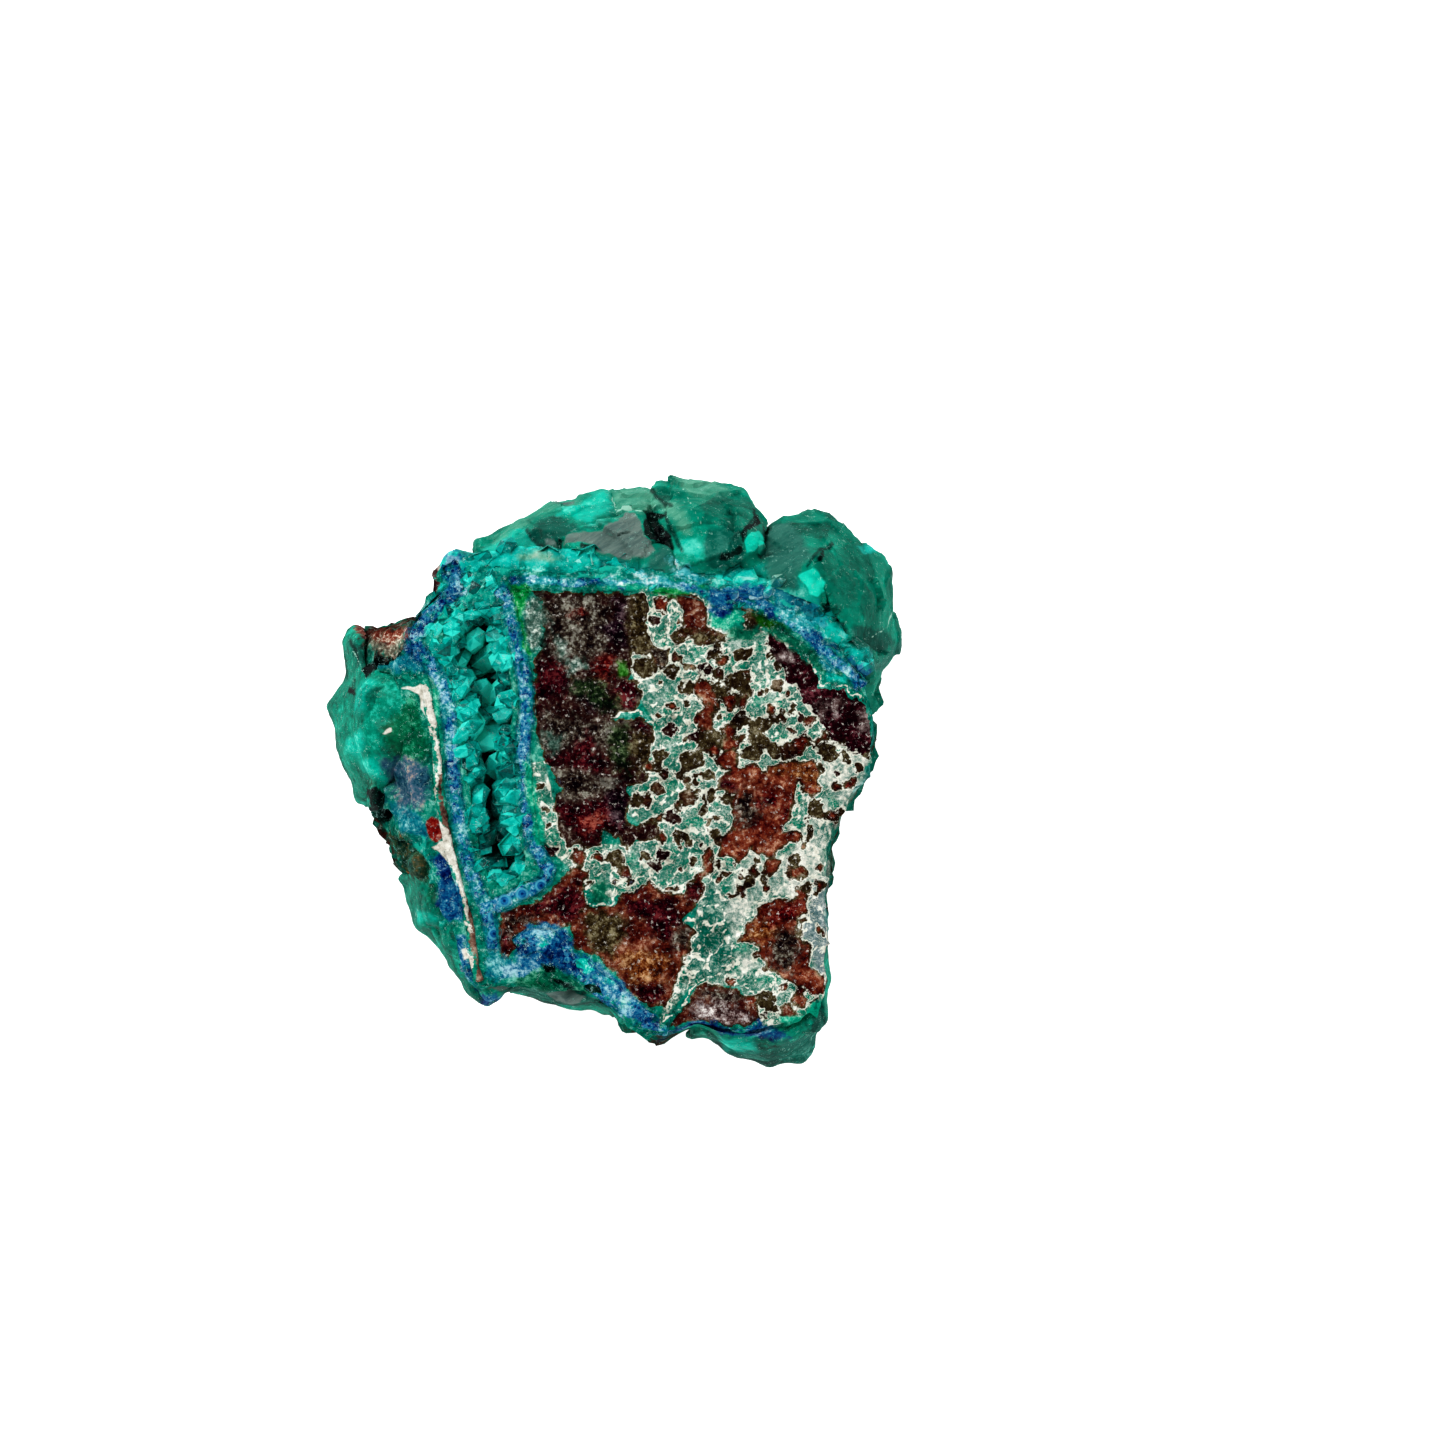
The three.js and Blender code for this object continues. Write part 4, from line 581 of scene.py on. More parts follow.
# Painted highlights along the crystals' edges, and painted shade in the creases between crystals.
EDGE_HIGHLIGHTS = [
    [(-0.8, 23.9), (-0.5, 23), (0, 22)],
    [(0, 22.1), (1.2, 22.2), (2, 22), (3.4, 22.7)],
    [(-5.1, 18.9), (-3.4, 18.8), (-1.8, 18.6)],
    [(-12.8, 18.5), (-10.8, 18.2), (-8.8, 18)],
    [(20.4, 11), (21.8, 11.6), (22.8, 12.5), (23.4, 13.8)],
    [(-9.4, 19.8), (-8.4, 19)],
    [(12.8, 21.1), (14, 21.6), (15.2, 22)],
    [(-22.9, 10.2), (-21.6, 8.4)],
    [(5.6, 23.8), (6.6, 22.4), (7.2, 21.2)],
]
SHADED_CREASES = [
    [(3, 23.9), (3.6, 23.2), (4.6, 22.7)],
    [(11.5, 22.6), (11.7, 21.8), (10.9, 20.7), (10.7, 19.6)],
    [(-7.6, 20.6), (-7.2, 19.8), (-6.4, 18.9)],
    [(4.2, 22.2), (4.7, 20.4), (5.8, 18.6)],
    [(12.5, 21), (12.6, 19.6), (12.2, 18.4)],
    [(19.2, 12.6), (19.6, 11), (20.4, 10)],
    [(-21.8, 11), (-21, 9.6)],
    [(-23, 11.2), (-22.4, 9.8)],
    [(16.2, 17.4), (17.2, 18.8), (18.4, 19.4)],
]
# Brown pebbles in the lace: place, half size and how warm their brown is.
PEBBLES = [
    (3.9, 14.2, 0.65, 0.95), (11, 14.2, 0.5, 0.8), (11.5, 12.8, 0.75, 0.2), (2.5, 8.9, 0.85, 0.1),
    (3.2, 12.8, 0.4, 0), (7.5, 8.7, 0.48, 0), (6, 7.3, 0.6, 0.1), (4.7, 8.6, 0.5, 0.1), (13.7, 9.2, 0.4, 0.05),
    (7.4, 7.1, 0.75, 0.8), (7.9, 6.3, 0.7, 0.7), (10, 7.9, 0.7, 0.1), (8.5, 7.3, 0.4, 0.1),
    (10.8, 7.2, 0.55, 0.3), (9.6, 6, 0.6, 0.9), (10.7, 6, 0.5, 0.5), (10.5, 10, 0.6, 0.1), (9.2, 6.8, 0.4, 0.1),
    (11.4, 10.3, 0.35, 0.3), (13.6, 7.5, 0.5, 0.4), (4.7, 5.5, 0.42, 0.8), (11.3, 6.6, 0.3, 0.1),
    (7.4, 4.3, 0.75, 0.95), (7.7, 5.2, 0.5, 0.6), (9.5, 3.6, 0.55, 0.7), (7.9, 2.8, 0.95, 0.3),
    (8.8, 4.8, 0.3, 0.1), (9.6, 2.5, 0.65, 0.7), (10.6, 4.4, 0.7, 0.3), (12.2, 3.9, 0.7, 0.1),
    (4.6, 3.6, 0.6, 0), (13.3, 4.6, 0.4, 0.1), (3.8, 1.4, 0.55, 0.3), (6.2, 1, 0.75, 0.2),
    (7.1, 1.4, 0.42, 0.3), (8.3, 1.8, 0.4, 0.7), (6.5, 3, 0.4, 0), (12.5, 2.6, 0.5, 0.1), (13.5, 1.9, 0.6, 0.1),
    (11.5, 1.6, 0.7, 0.3), (14.8, 1.9, 0.75, 0.4), (11.6, 2.9, 0.35, 0.2), (15.6, 2.4, 0.6, 0.8),
    (9.5, 1, 0.8, 0.7), (16.5, 4.4, 0.5, 0.5), (19.3, 2.7, 0.6, 0.2), (15.6, 4.6, 0.4, 0), (18, 1.7, 0.7, 0.3),
    (3.4, -1.4, 0.5, 0.4), (4.8, -3.9, 0.55, 0), (6, -2.1, 0.7, 0.4), (7.9, -1.9, 0.6, 0.05),
    (7.8, 0, 0.5, 0.1), (9.4, -2.2, 0.5, 0.2), (2.6, -2.5, 0.5, 0.4), (1.7, -2.4, 0.55, 0.1),
    (1.9, -5, 0.6, 0.3), (5.6, -5.4, 0.5, 0.1), (8.3, -5.1, 0.4, 0.1), (2.4, -7.2, 0.4, 0.1),
    (3.8, -6.9, 0.5, 0), (3.3, -7.9, 0.4, 0), (0, -7.4, 0.75, 0.3), (0.8, -8.5, 0.5, 0.5),
    (-3.2, -7.2, 0.7, 0.6), (17, -3, 0.75, 0.2), (16.6, -1.4, 0.6, 0.8), (20, -0.9, 0.55, 1),
    (15, -7.4, 0.55, 0.3), (14.8, -8.6, 0.42, 0.4), (15.6, -8.5, 0.5, 1), (13.2, -7.8, 0.6, 0.9),
    (12.9, -8.5, 0.38, 0.4), (11.7, -8.3, 0.4, 0.5), (11.3, -9.2, 0.5, 0.3), (15.6, -10.4, 0.45, 0.7),
    (8, -7.3, 0.4, 0.2), (10.6, -10.1, 0.45, 0.4), (12.6, -19.2, 0.75, 0.2), (15.4, -19.4, 0.55, 0.7),
    (14.6, -20.4, 0.55, 0.5), (15.5, -18.5, 0.4, 0.7), (12.5, -16.7, 0.3, 0.4), (11.3, -19.4, 0.5, 0.8),
    (-5.7, -6.7, 0.5, 0), (14.4, -5.6, 0.4, 0.6),
]
# The lines of lace that stand out from the rest.
LACE_LINES = [
    [(2.7, 14.8), (3.4, 13.8), (2.7, 13.2), (2.6, 12), (3.2, 11.2), (4.2, 10.5), (4.2, 11.6), (4.5, 12.8),
     (4.1, 13.7)],
    [(3.6, 15.3), (4.3, 14.5), (5, 13.8), (5.6, 13.2), (5.4, 12.2)],
    [(5.4, 11), (6.2, 11.4)],
    [(3, 13.9), (4.2, 13.6)],
    [(4.7, 9.3), (4.7, 10.2), (5.4, 10.9), (6.4, 10.4), (7.2, 10), (8.2, 10.5), (9.2, 10.6)],
    [(7.4, 9.9), (7.9, 9.2), (7.2, 8.4), (5.8, 7.8), (5.6, 7)],
    [(1.5, 8.2), (2.6, 7.9), (3.4, 8.2), (4.4, 8.9)],
    [(-0.2, 4.8), (1, 5), (1.8, 5.4), (2.8, 4.4), (3.5, 3.4)],
    [(3.7, -21.4), (4.8, -20.4), (5.9, -19.5), (6.5, -18.3), (7.4, -17.5), (9, -17.2), (10.4, -17.9),
     (11.8, -18.8), (12.6, -18.2), (13.3, -17.6), (14, -18.6)],
    [(16, -11), (16.2, -13), (15.2, -13.8)],
    [(9.8, -14.4), (10.8, -12.8), (12.1, -11.2), (14, -10.4), (15.4, -10.4)],
    [(12.1, -15.4), (12.6, -16.8), (14, -18.2)],
    [(-2.1, -8.9), (-2.5, -10.2), (-2.7, -11.3), (-0.5, -11.2), (-0.2, -9.8), (0.7, -8.9), (2.2, -8.8),
     (3.8, -9.8), (5, -10.4), (6, -9.2)],
    [(5.6, -12.6), (6.6, -12.4), (6.9, -13.6), (6.5, -15), (5.6, -17), (4.6, -19.8)],
    [(14.6, -17.9), (15.8, -18.2), (17.2, -19.4)],
    [(11, 14.6), (11.7, 14), (12.2, 13), (13, 12.1), (14, 11.2), (15.4, 10.4), (16.3, 9.4), (17, 8.4),
     (17.4, 7.5), (18.4, 7.6), (19.6, 7.1), (20.8, 6.5), (21.8, 6)],
    [(10.9, 13.4), (11, 12.4), (11.9, 11.7), (12.8, 11.4)],
    [(17.1, 4.9), (17.6, 3.6), (18.4, 2.8), (19.6, 1.9), (20.4, 1.9)],
    [(16.4, 2.4), (17.8, 2.5), (18.8, 2.2)],
    [(13.9, 6.7), (14.2, 7.4), (15.5, 7.3), (15.8, 6.1), (16.6, 5.3)],
    [(13, 3.2), (14, 2.6), (15, 3.1), (16.2, 3)],
    [(11.8, -7.6), (12.4, -7.6), (11.4, -6.4)],
    [(7.3, -0.4), (7.6, -2), (7.9, -2.8)],
]


def pebbles(seed, count):
    """The brown pebbles, with many small ones scattered between them."""
    dice = random.Random(seed)
    made = [(x, y, size * 1.18, size, dice.uniform(0, 3.1), warm) for x, y, size, warm in PEBBLES]
    spots = np.array([(dice.uniform(-7, 22), dice.uniform(-22, 16)) for _ in range(4000)])
    inside = from_outline(spots, LACE) < -0.2
    clear = from_any(spots, [outline for _, outline in WINDOWS]) > 0.15
    clear &= from_outline(spots, TEAL_CHANNEL) > 0.2
    crowd = lumps(np.column_stack([spots, np.zeros(len(spots))]), 4.0, 1, 3.0)
    for (x, y), crowded in zip(spots[inside & clear], crowd[inside & clear]):
        size = dice.uniform(0.2, 0.5)
        if crowded < dice.uniform(-0.6, 0.1):
            continue
        if all(math.hypot(x - b[0], y - b[1]) > 0.85 * (size + b[2]) for b in made):
            made.append((x, y, size, size * dice.uniform(0.6, 0.95), dice.uniform(0, 3.1), dice.random()))
        if len(made) == len(PEBBLES) + count:
            break
    return made


MERGING = 0.16  # how close two pebbles have to be to flow together, in millimetres


def from_pebbles(spots, made):
    """Distance to the nearest pebble's edge, below zero inside it, and how warm that pebble is."""
    nearest, warmth, merged = np.full(len(spots), 9.0), np.zeros(len(spots)), np.zeros(len(spots))
    for x, y, long, short, turn, warm in made:
        beside = np.flatnonzero((abs(spots[:, 0] - x) < REACH) & (abs(spots[:, 1] - y) < REACH))
        dx, dy = spots[beside, 0] - x, spots[beside, 1] - y
        along = dx * math.cos(turn) + dy * math.sin(turn)
        across = dy * math.cos(turn) - dx * math.sin(turn)
        gap = (np.hypot(along / long, across / short) - 1) * math.sqrt(long * short)
        closer = gap < nearest[beside]
        nearest[beside[closer]], warmth[beside[closer]] = gap[closer], warm
        merged[beside] += np.exp(-np.clip(gap, -3, 3) / MERGING)
    return -MERGING * np.log(merged + 1e-9), warmth


TILTS, TONES = 57.3, 91.7  # keep the facets' random tilts and tones independent of each other


def facets(points, size, shift=0.0):
    """Flat facets about size wide: how far a point is raised or sunk by its facet's tilt, and a tone."""
    raised, tones = np.empty(len(points)), np.empty(len(points))
    for i, spot in enumerate(points / size + shift):
        seed = noise.voronoi(spot)[1][0]
        lean = noise.cell_vector(seed * TILTS) * 2 - Vector((1, 1, 1))
        raised[i] = lean.dot(Vector(spot) - seed) * size
        tones[i] = noise.cell(seed * TONES + Vector((5, 0, 0))) * 0.5 + 0.5
    return raised, tones


# Where the outline is drawn in or out: the place, how far around it, and how far it goes.
PULLS = [
    (22.6, 7.2, 1.7, -1.1, 0.2), (22.1, 4.5, 1.5, -0.4, 0), (22.7, 6.6, 1.2, -0.5, 0),
    (18.1, -16.6, 2.2, -0.6, 0), (18.1, -13.4, 2.2, -0.4, 0), (18.3, -19.4, 1.4, -0.5, 0),
    (15.8, -24.8, 1.3, 0.3, -0.45), (13, -25, 1.4, 0, -0.5), (10, -24.2, 1.6, -0.1, -0.4),
    (6.8, -23.3, 1.6, 0.2, 1.2), (3, -23.2, 1.2, 0, -0.3), (0.4, -22, 1, -0.1, -0.4), (-2, -21.2, 1.8, 0, 1),
    (-5.4, -20.2, 1.4, 0, 0.4), (-8, -19.5, 1.7, 0, 0.7), (-19.3, -7.8, 1.1, -0.3, -0.1),
    (-20.6, -4, 1.1, -0.45, 0), (-22.5, -1, 1.5, 0.55, 0.35), (-21.5, -2.8, 0.9, 0.25, 0.1),
    (-24.6, 5.6, 0.9, -0.6, 0), (-23.8, 8.1, 1, 0.5, 0), (-23.4, 9.6, 1.5, 0.3, 0),
    (-22.8, 12.2, 1.3, -0.2, 0.35), (-15.4, 16.6, 1.2, -0.35, 0), (-14.4, 18.5, 1.4, -0.2, 0.3),
    (-12.3, 19.6, 1.3, 0.2, -0.3), (-10.8, 20.4, 1.6, 0.1, -0.5), (3.3, 24.7, 1.2, 0, 0.3),
    (7.8, 24.8, 1.2, 0, 0.3), (-18.6, -9.8, 1.1, 0.55, 0.2), (-17.1, -13.1, 0.9, -0.25, -0.2),
    (-15.7, -14.4, 1.2, 0.25, 0.25), (-14.5, -16, 1.2, 0.3, 0.2), (-13.5, -17.6, 1, 0.2, 0.2),
    (22.1, 1, 1.2, -0.25, 0), (11.8, 22.9, 0.8, 0, -0.25), (-0.9, -21.3, 1, 0.1, 0.3),
    (19.3, -4.2, 2.2, -0.2, 0.1), (-11.3, -19.4, 1, 0, -0.6), (-0.7, -21.7, 0.6, 0, 0.7),
    (-9.2, -19.4, 0.5, 0.1, 0.45),
]


def pulled(points, pulls=PULLS):
    """Draws points in or out beside the given places."""
    for x, y, reach, right, up in pulls:
        hold = np.exp(-((points[:, 0] - x) ** 2 + (points[:, 1] - y) ** 2) / reach**2)
        points[:, 0] += right * hold
        points[:, 1] += up * hold
    return points


SHOULDER = 12.5  # above this height the stone shows from above and has smaller faces, in millimetres
BRINK = 22.6  # above this height the broad face begins

stone = copy_of(
    "Stone",
    "host_rock",
    "shattuckite_vug_band",
    "shattuckite_crest_band",
    "shattuckite_foot_band",
    "calcite_seam",
)
remeshed(stone, 0.62)
finer(stone, lambda middle, facing: (facing[:, 2] > 0.15) & (middle[:, 2] > SHOULDER))
finer(stone, lambda middle, facing: (facing[:, 2] > 0.6) & (middle[:, 2] > BRINK))

points, facing = places(stone), facings(stone)
on_face = ease(points[:, 2], 22.7, 23.5) * ease(facing[:, 2], 0.2, 0.6)
from_above = ease(facing[:, 2], 0.0, 0.4) * ease(points[:, 2], 10, 15)
in_hollow = ease(-from_outline(points[:, :2], HOLLOW), -0.5, -0.1) * ease(points[:, 2], 8, 12)
spots = warped(points, 1.3, 0.16)
fine_spots = spots + warped(points, 0.9, 0.3, 21.0) + warped(points, 0.35, 0.12, 7.0) - 2 * points[:, :2]

window_gaps = np.array([from_outline(fine_spots, outline) for _, outline in WINDOWS])
window_warm = np.array([warm for warm, _ in WINDOWS])[window_gaps.argmin(0)]
window_gap = window_gaps.min(0) + 0.16 * lumps(points, 0.7, 3, 12.0)
pebble_gap, pebble_warm = from_pebbles(fine_spots, pebbles(5, 100))
pebble_gap += 0.12 * lumps(points, 0.4, 2, 17.0)
brown = np.minimum(window_gap, pebble_gap)
in_window = window_gap < pebble_gap
near, second = cells(np.column_stack([fine_spots, np.zeros(len(points))]), 1.3)
lace_gap = from_outline(spots, LACE)
lines = from_lines(fine_spots, LACE_LINES)

keep(stone, "brown", brown)
keep(stone, "warm", np.where(in_window, window_warm, pebble_warm))
keep(stone, "pebble", np.where(in_window, 0.0, 1.0))
keep(stone, "net", (second - near) * 0.5)
keep(stone, "lines", lines)
keep(stone, "lace", lace_gap)
keep(stone, "channel", from_outline(spots, TEAL_CHANNEL))
for name, outlines in PATCHES.items():
    keep(stone, name, from_any(spots, outlines))
lips = from_lines(spots, [VUG_ROUTE_LEFT, VUG_ROUTE_RIGHT]) - 0.65
keep(stone, "layer", np.minimum(lips, from_route(spots, CREST_ROUTE) - 0.35))
turquoise = np.minimum(from_any(spots, PATCHES["turquoise"]), from_outline(spots, HOLLOW) - 0.2)
keep(stone, "turquoise", turquoise)
keep(stone, "above", np.maximum(np.maximum(from_above, in_hollow), ease(points[:, 2], 21.8, 22.8)))
keep(stone, "crust", ease(points[:, 2] + 0.8 * lumps(points, 1.5), 20.6, 22.6))
# Each facet's random tone is painted facet light and shade in the material.
raised, tones = facets(points, 1.0)
keep(stone, "tone", tones)

rim = np.exp(-(((brown - 0.1) / 0.12) ** 2)) * (lace_gap < 0.3)
relief = -0.12 * ease(-window_gap, -0.1, 0.25) - 0.1 * ease(-pebble_gap, -0.1, 0.2) + 0.05 * rim
relief += 0.06 * lumps(points, 1.6) + 0.05 * lumps(points, 0.45, 2)
druse = ease(-np.minimum(turquoise, lips), -0.1, 0.3)
relief += druse * (0.05 + 0.25 * raised)
side = (1 - on_face) * (1 - in_hollow)
bulge = 0.42 * lumps(points, 4.2, 3) + 0.2 * lumps(points, 1.3, 2, 9.0) + 0.07 * lumps(points, 0.5, 1, 4.0)
bulge += 0.3 * facets(points, 2.4, 8.0)[0]
points[:, 2] += (FACE + relief - points[:, 2]) * on_face
points += facing * (side * bulge * ease(points[:, 2], 0.05, 1.6))[:, None]
points = pulled(points)
# On the right only the edge of the face stands out, and the side below it stays where it is.
edge = pulled(points.copy(), [(17.4, -14.5, 2.6, 0.75, 0), (17.5, -18, 1.6, 0.5, 0)])
points += (edge - points) * ease(points[:, 2], 21.2, BRINK)[:, None]
move(stone, points)
pick(stone)
bpy.ops.object.shade_smooth()


def paint(red, green, blue):
    """A colour as it is seen, from 0 to 255, as the shader's own numbers."""
    seen = [value / 255 for value in (red, green, blue)]
    return [v / 12.92 if v <= 0.04045 else ((v + 0.055) / 1.055) ** 2.4 for v in seen] + [1.0]


def add(tree, kind, plugs=None, **settings):
    """Adds a node with its settings, and plugs sockets or plain values into its inputs."""
    made = tree.nodes.new("ShaderNode" + kind)
    for setting, value in settings.items():
        setattr(made, setting, value)
    for socket, value in (plugs or {}).items():
        if isinstance(value, bpy.types.NodeSocket):
            tree.links.new(value, made.inputs[socket])
        else:
            made.inputs[socket].default_value = value
    return made


def over(tree, share, under, upper, how="MIX"):
    """One colour over another by a share."""
    return add(tree, "Mix", {0: share, 6: under, 7: upper}, data_type="RGBA", blend_type=how).outputs[2]


def sum_of(tree, operation, first, second=0.0):
    """The result of one sum with one or two numbers."""
    return add(tree, "Math", {0: first, 1: second}, operation=operation).outputs[0]


def step(tree, value, low, high):
    """0 up to low, 1 from high on, or the other way round where low is the larger."""
    plugs = {"Value": value, "From Min": low, "From Max": high}
    return add(tree, "MapRange", plugs, interpolation_type="SMOOTHSTEP").outputs["Result"]


def read(tree, name):
    """The number that a piece keeps under a name."""
    return add(tree, "Attribute", attribute_name=name).outputs["Fac"]


def ramp(tree, value, tones):
    """Runs through four or more colours, seen from 0 to 255, as a value goes from 0 to 1."""
    made = add(tree, "ValToRGB", {0: value})
    stops = made.color_ramp.elements
    for i, tone in enumerate(tones):
        place = i / (len(tones) - 1)
        stop = stops[0] if i == 0 else stops[-1] if place == 1 else stops.new(place)
        stop.color = paint(*tone)
    return made.outputs[0]


def effect(name, inputs, outputs):
    """A new node group with named inputs and outputs, and its two end nodes."""
    tree = bpy.data.node_groups.new(name, "ShaderNodeTree")
    for label, kind, value in inputs:
        socket = tree.interface.new_socket(label, in_out="INPUT", socket_type="NodeSocket" + kind)
        if value is not None:
            socket.default_value = value
    for label, kind in outputs:
        tree.interface.new_socket(label, in_out="OUTPUT", socket_type="NodeSocket" + kind)
    return tree, tree.nodes.new("NodeGroupInput").outputs, tree.nodes.new("NodeGroupOutput").inputs


def use(tree, group, **plugs):
    """Places an effect in a material. Spaces in its inputs' names are written as underscores."""
    made = tree.nodes.new("ShaderNodeGroup")
    made.node_tree = group
    for label, value in plugs.items():
        socket = made.inputs[label.replace("_", " ")]
        if isinstance(value, bpy.types.NodeSocket):
            tree.links.new(value, socket)
        else:
            socket.default_value = value
    return made.outputs


# Two minerals in cloudy patches.
mottle, given, gives = effect(
    "Mottle",
    [("Place", "Vector", None), ("Size", "Float", 1.0), ("Balance", "Float", 0.5), ("Softness", "Float", 0.1),
     ("Dark", "Color", None), ("Light", "Color", None)],
    [("Color", "Color"), ("Share", "Float")],
)
scale = sum_of(mottle, "DIVIDE", 1.0, given["Size"])
cloud = add(mottle, "TexNoise", {"Vector": given["Place"], "Scale": scale, "Detail": 6.0, "Roughness": 0.68,
                                 "Distortion": 0.25}).outputs["Fac"]
low = sum_of(mottle, "SUBTRACT", given["Balance"], given["Softness"])
high = sum_of(mottle, "ADD", given["Balance"], given["Softness"])
share = step(mottle, cloud, low, high)
mottle.links.new(over(mottle, share, given["Dark"], given["Light"]), gives["Color"])
mottle.links.new(share, gives["Share"])

# Small bright specks, in drifts: white grains, and painted glints on the crystals.
flecks, given, gives = effect(
    "Flecks",
    [("Place", "Vector", None), ("Size", "Float", 0.2), ("Level", "Float", 0.62), ("Drift", "Float", 0.1)],
    [("Mask", "Float")],
)
grain = add(flecks, "TexNoise", {"Vector": given["Place"], "Scale": sum_of(flecks, "DIVIDE", 1.0, given["Size"]),
                                 "Detail": 2.0, "Distortion": 1.2}).outputs["Fac"]
drift = add(flecks, "TexNoise", {"Vector": given["Place"], "Scale": sum_of(flecks, "DIVIDE", 0.14, given["Size"]),
                                 "Detail": 2.0}).outputs["Fac"]
pull = sum_of(flecks, "MULTIPLY", sum_of(flecks, "SUBTRACT", drift, 0.5), given["Drift"])
level = sum_of(flecks, "SUBTRACT", given["Level"], sum_of(flecks, "MULTIPLY", pull, 6.0))
flecks.links.new(step(flecks, grain, level, sum_of(flecks, "ADD", level, 0.05)), gives["Mask"])

# Fine curling veinlets.
veinlets, given, gives = effect(
    "Veinlets",
    [("Place", "Vector", None), ("Size", "Float", 1.0), ("Width", "Float", 0.02), ("Level", "Float", 0.5)],
    [("Mask", "Float")],
)
scale = sum_of(veinlets, "DIVIDE", 1.0, given["Size"])
curl = add(veinlets, "TexNoise", {"Vector": given["Place"], "Scale": scale, "Detail": 4.0, "Roughness": 0.6,
                                  "Distortion": 1.0}).outputs["Fac"]
gate = add(veinlets, "TexNoise", {"Vector": given["Place"], "Scale": sum_of(veinlets, "MULTIPLY", scale, 0.8),
                                  "Detail": 2.0}).outputs["Fac"]
off = sum_of(veinlets, "ABSOLUTE", sum_of(veinlets, "SUBTRACT", curl, 0.5))
line = step(veinlets, off, given["Width"], sum_of(veinlets, "MULTIPLY", given["Width"], 0.35))
gated = step(veinlets, gate, given["Level"], sum_of(veinlets, "ADD", given["Level"], 0.05))
veinlets.links.new(sum_of(veinlets, "MULTIPLY", line, gated), gives["Mask"])

# Fine grain, from 0 to 1, in light and dark drifts.
grain, given, gives = effect(
    "Grain",
    [("Place", "Vector", None), ("Size", "Float", 0.5), ("Contrast", "Float", 1.0)],
    [("Value", "Float")],
)
scale = sum_of(grain, "DIVIDE", 1.0, given["Size"])
fine = add(grain, "TexNoise", {"Vector": given["Place"], "Scale": scale, "Detail": 7.0,
                               "Roughness": 0.75}).outputs["Fac"]
broad = add(grain, "TexNoise", {"Vector": given["Place"], "Scale": sum_of(grain, "MULTIPLY", scale, 0.2),
                                "Detail": 2.0}).outputs["Fac"]
both = sum_of(grain, "ADD", sum_of(grain, "MULTIPLY", sum_of(grain, "SUBTRACT", fine, 0.5), 2.6),
              sum_of(grain, "MULTIPLY", sum_of(grain, "SUBTRACT", broad, 0.5), 1.5))
value = sum_of(grain, "ADD", sum_of(grain, "MULTIPLY", both, given["Contrast"]), 0.5)
grain.links.new(value, gives["Value"])

# A patch of another mineral, whose edge wanders.
patch, given, gives = effect(
    "Patch",
    [("Distance", "Float", 0.0), ("Wobble", "Float", 0.5), ("Wander", "Float", 0.3), ("Softness", "Float", 0.1)],
    [("Mask", "Float")],
)
push = sum_of(patch, "MULTIPLY", sum_of(patch, "SUBTRACT", given["Wobble"], 0.5), given["Wander"])
moved = sum_of(patch, "ADD", given["Distance"], sum_of(patch, "MULTIPLY", push, 2.0))
edge = step(patch, moved, given["Softness"], sum_of(patch, "MULTIPLY", given["Softness"], -1.0))
patch.links.new(edge, gives["Mask"])

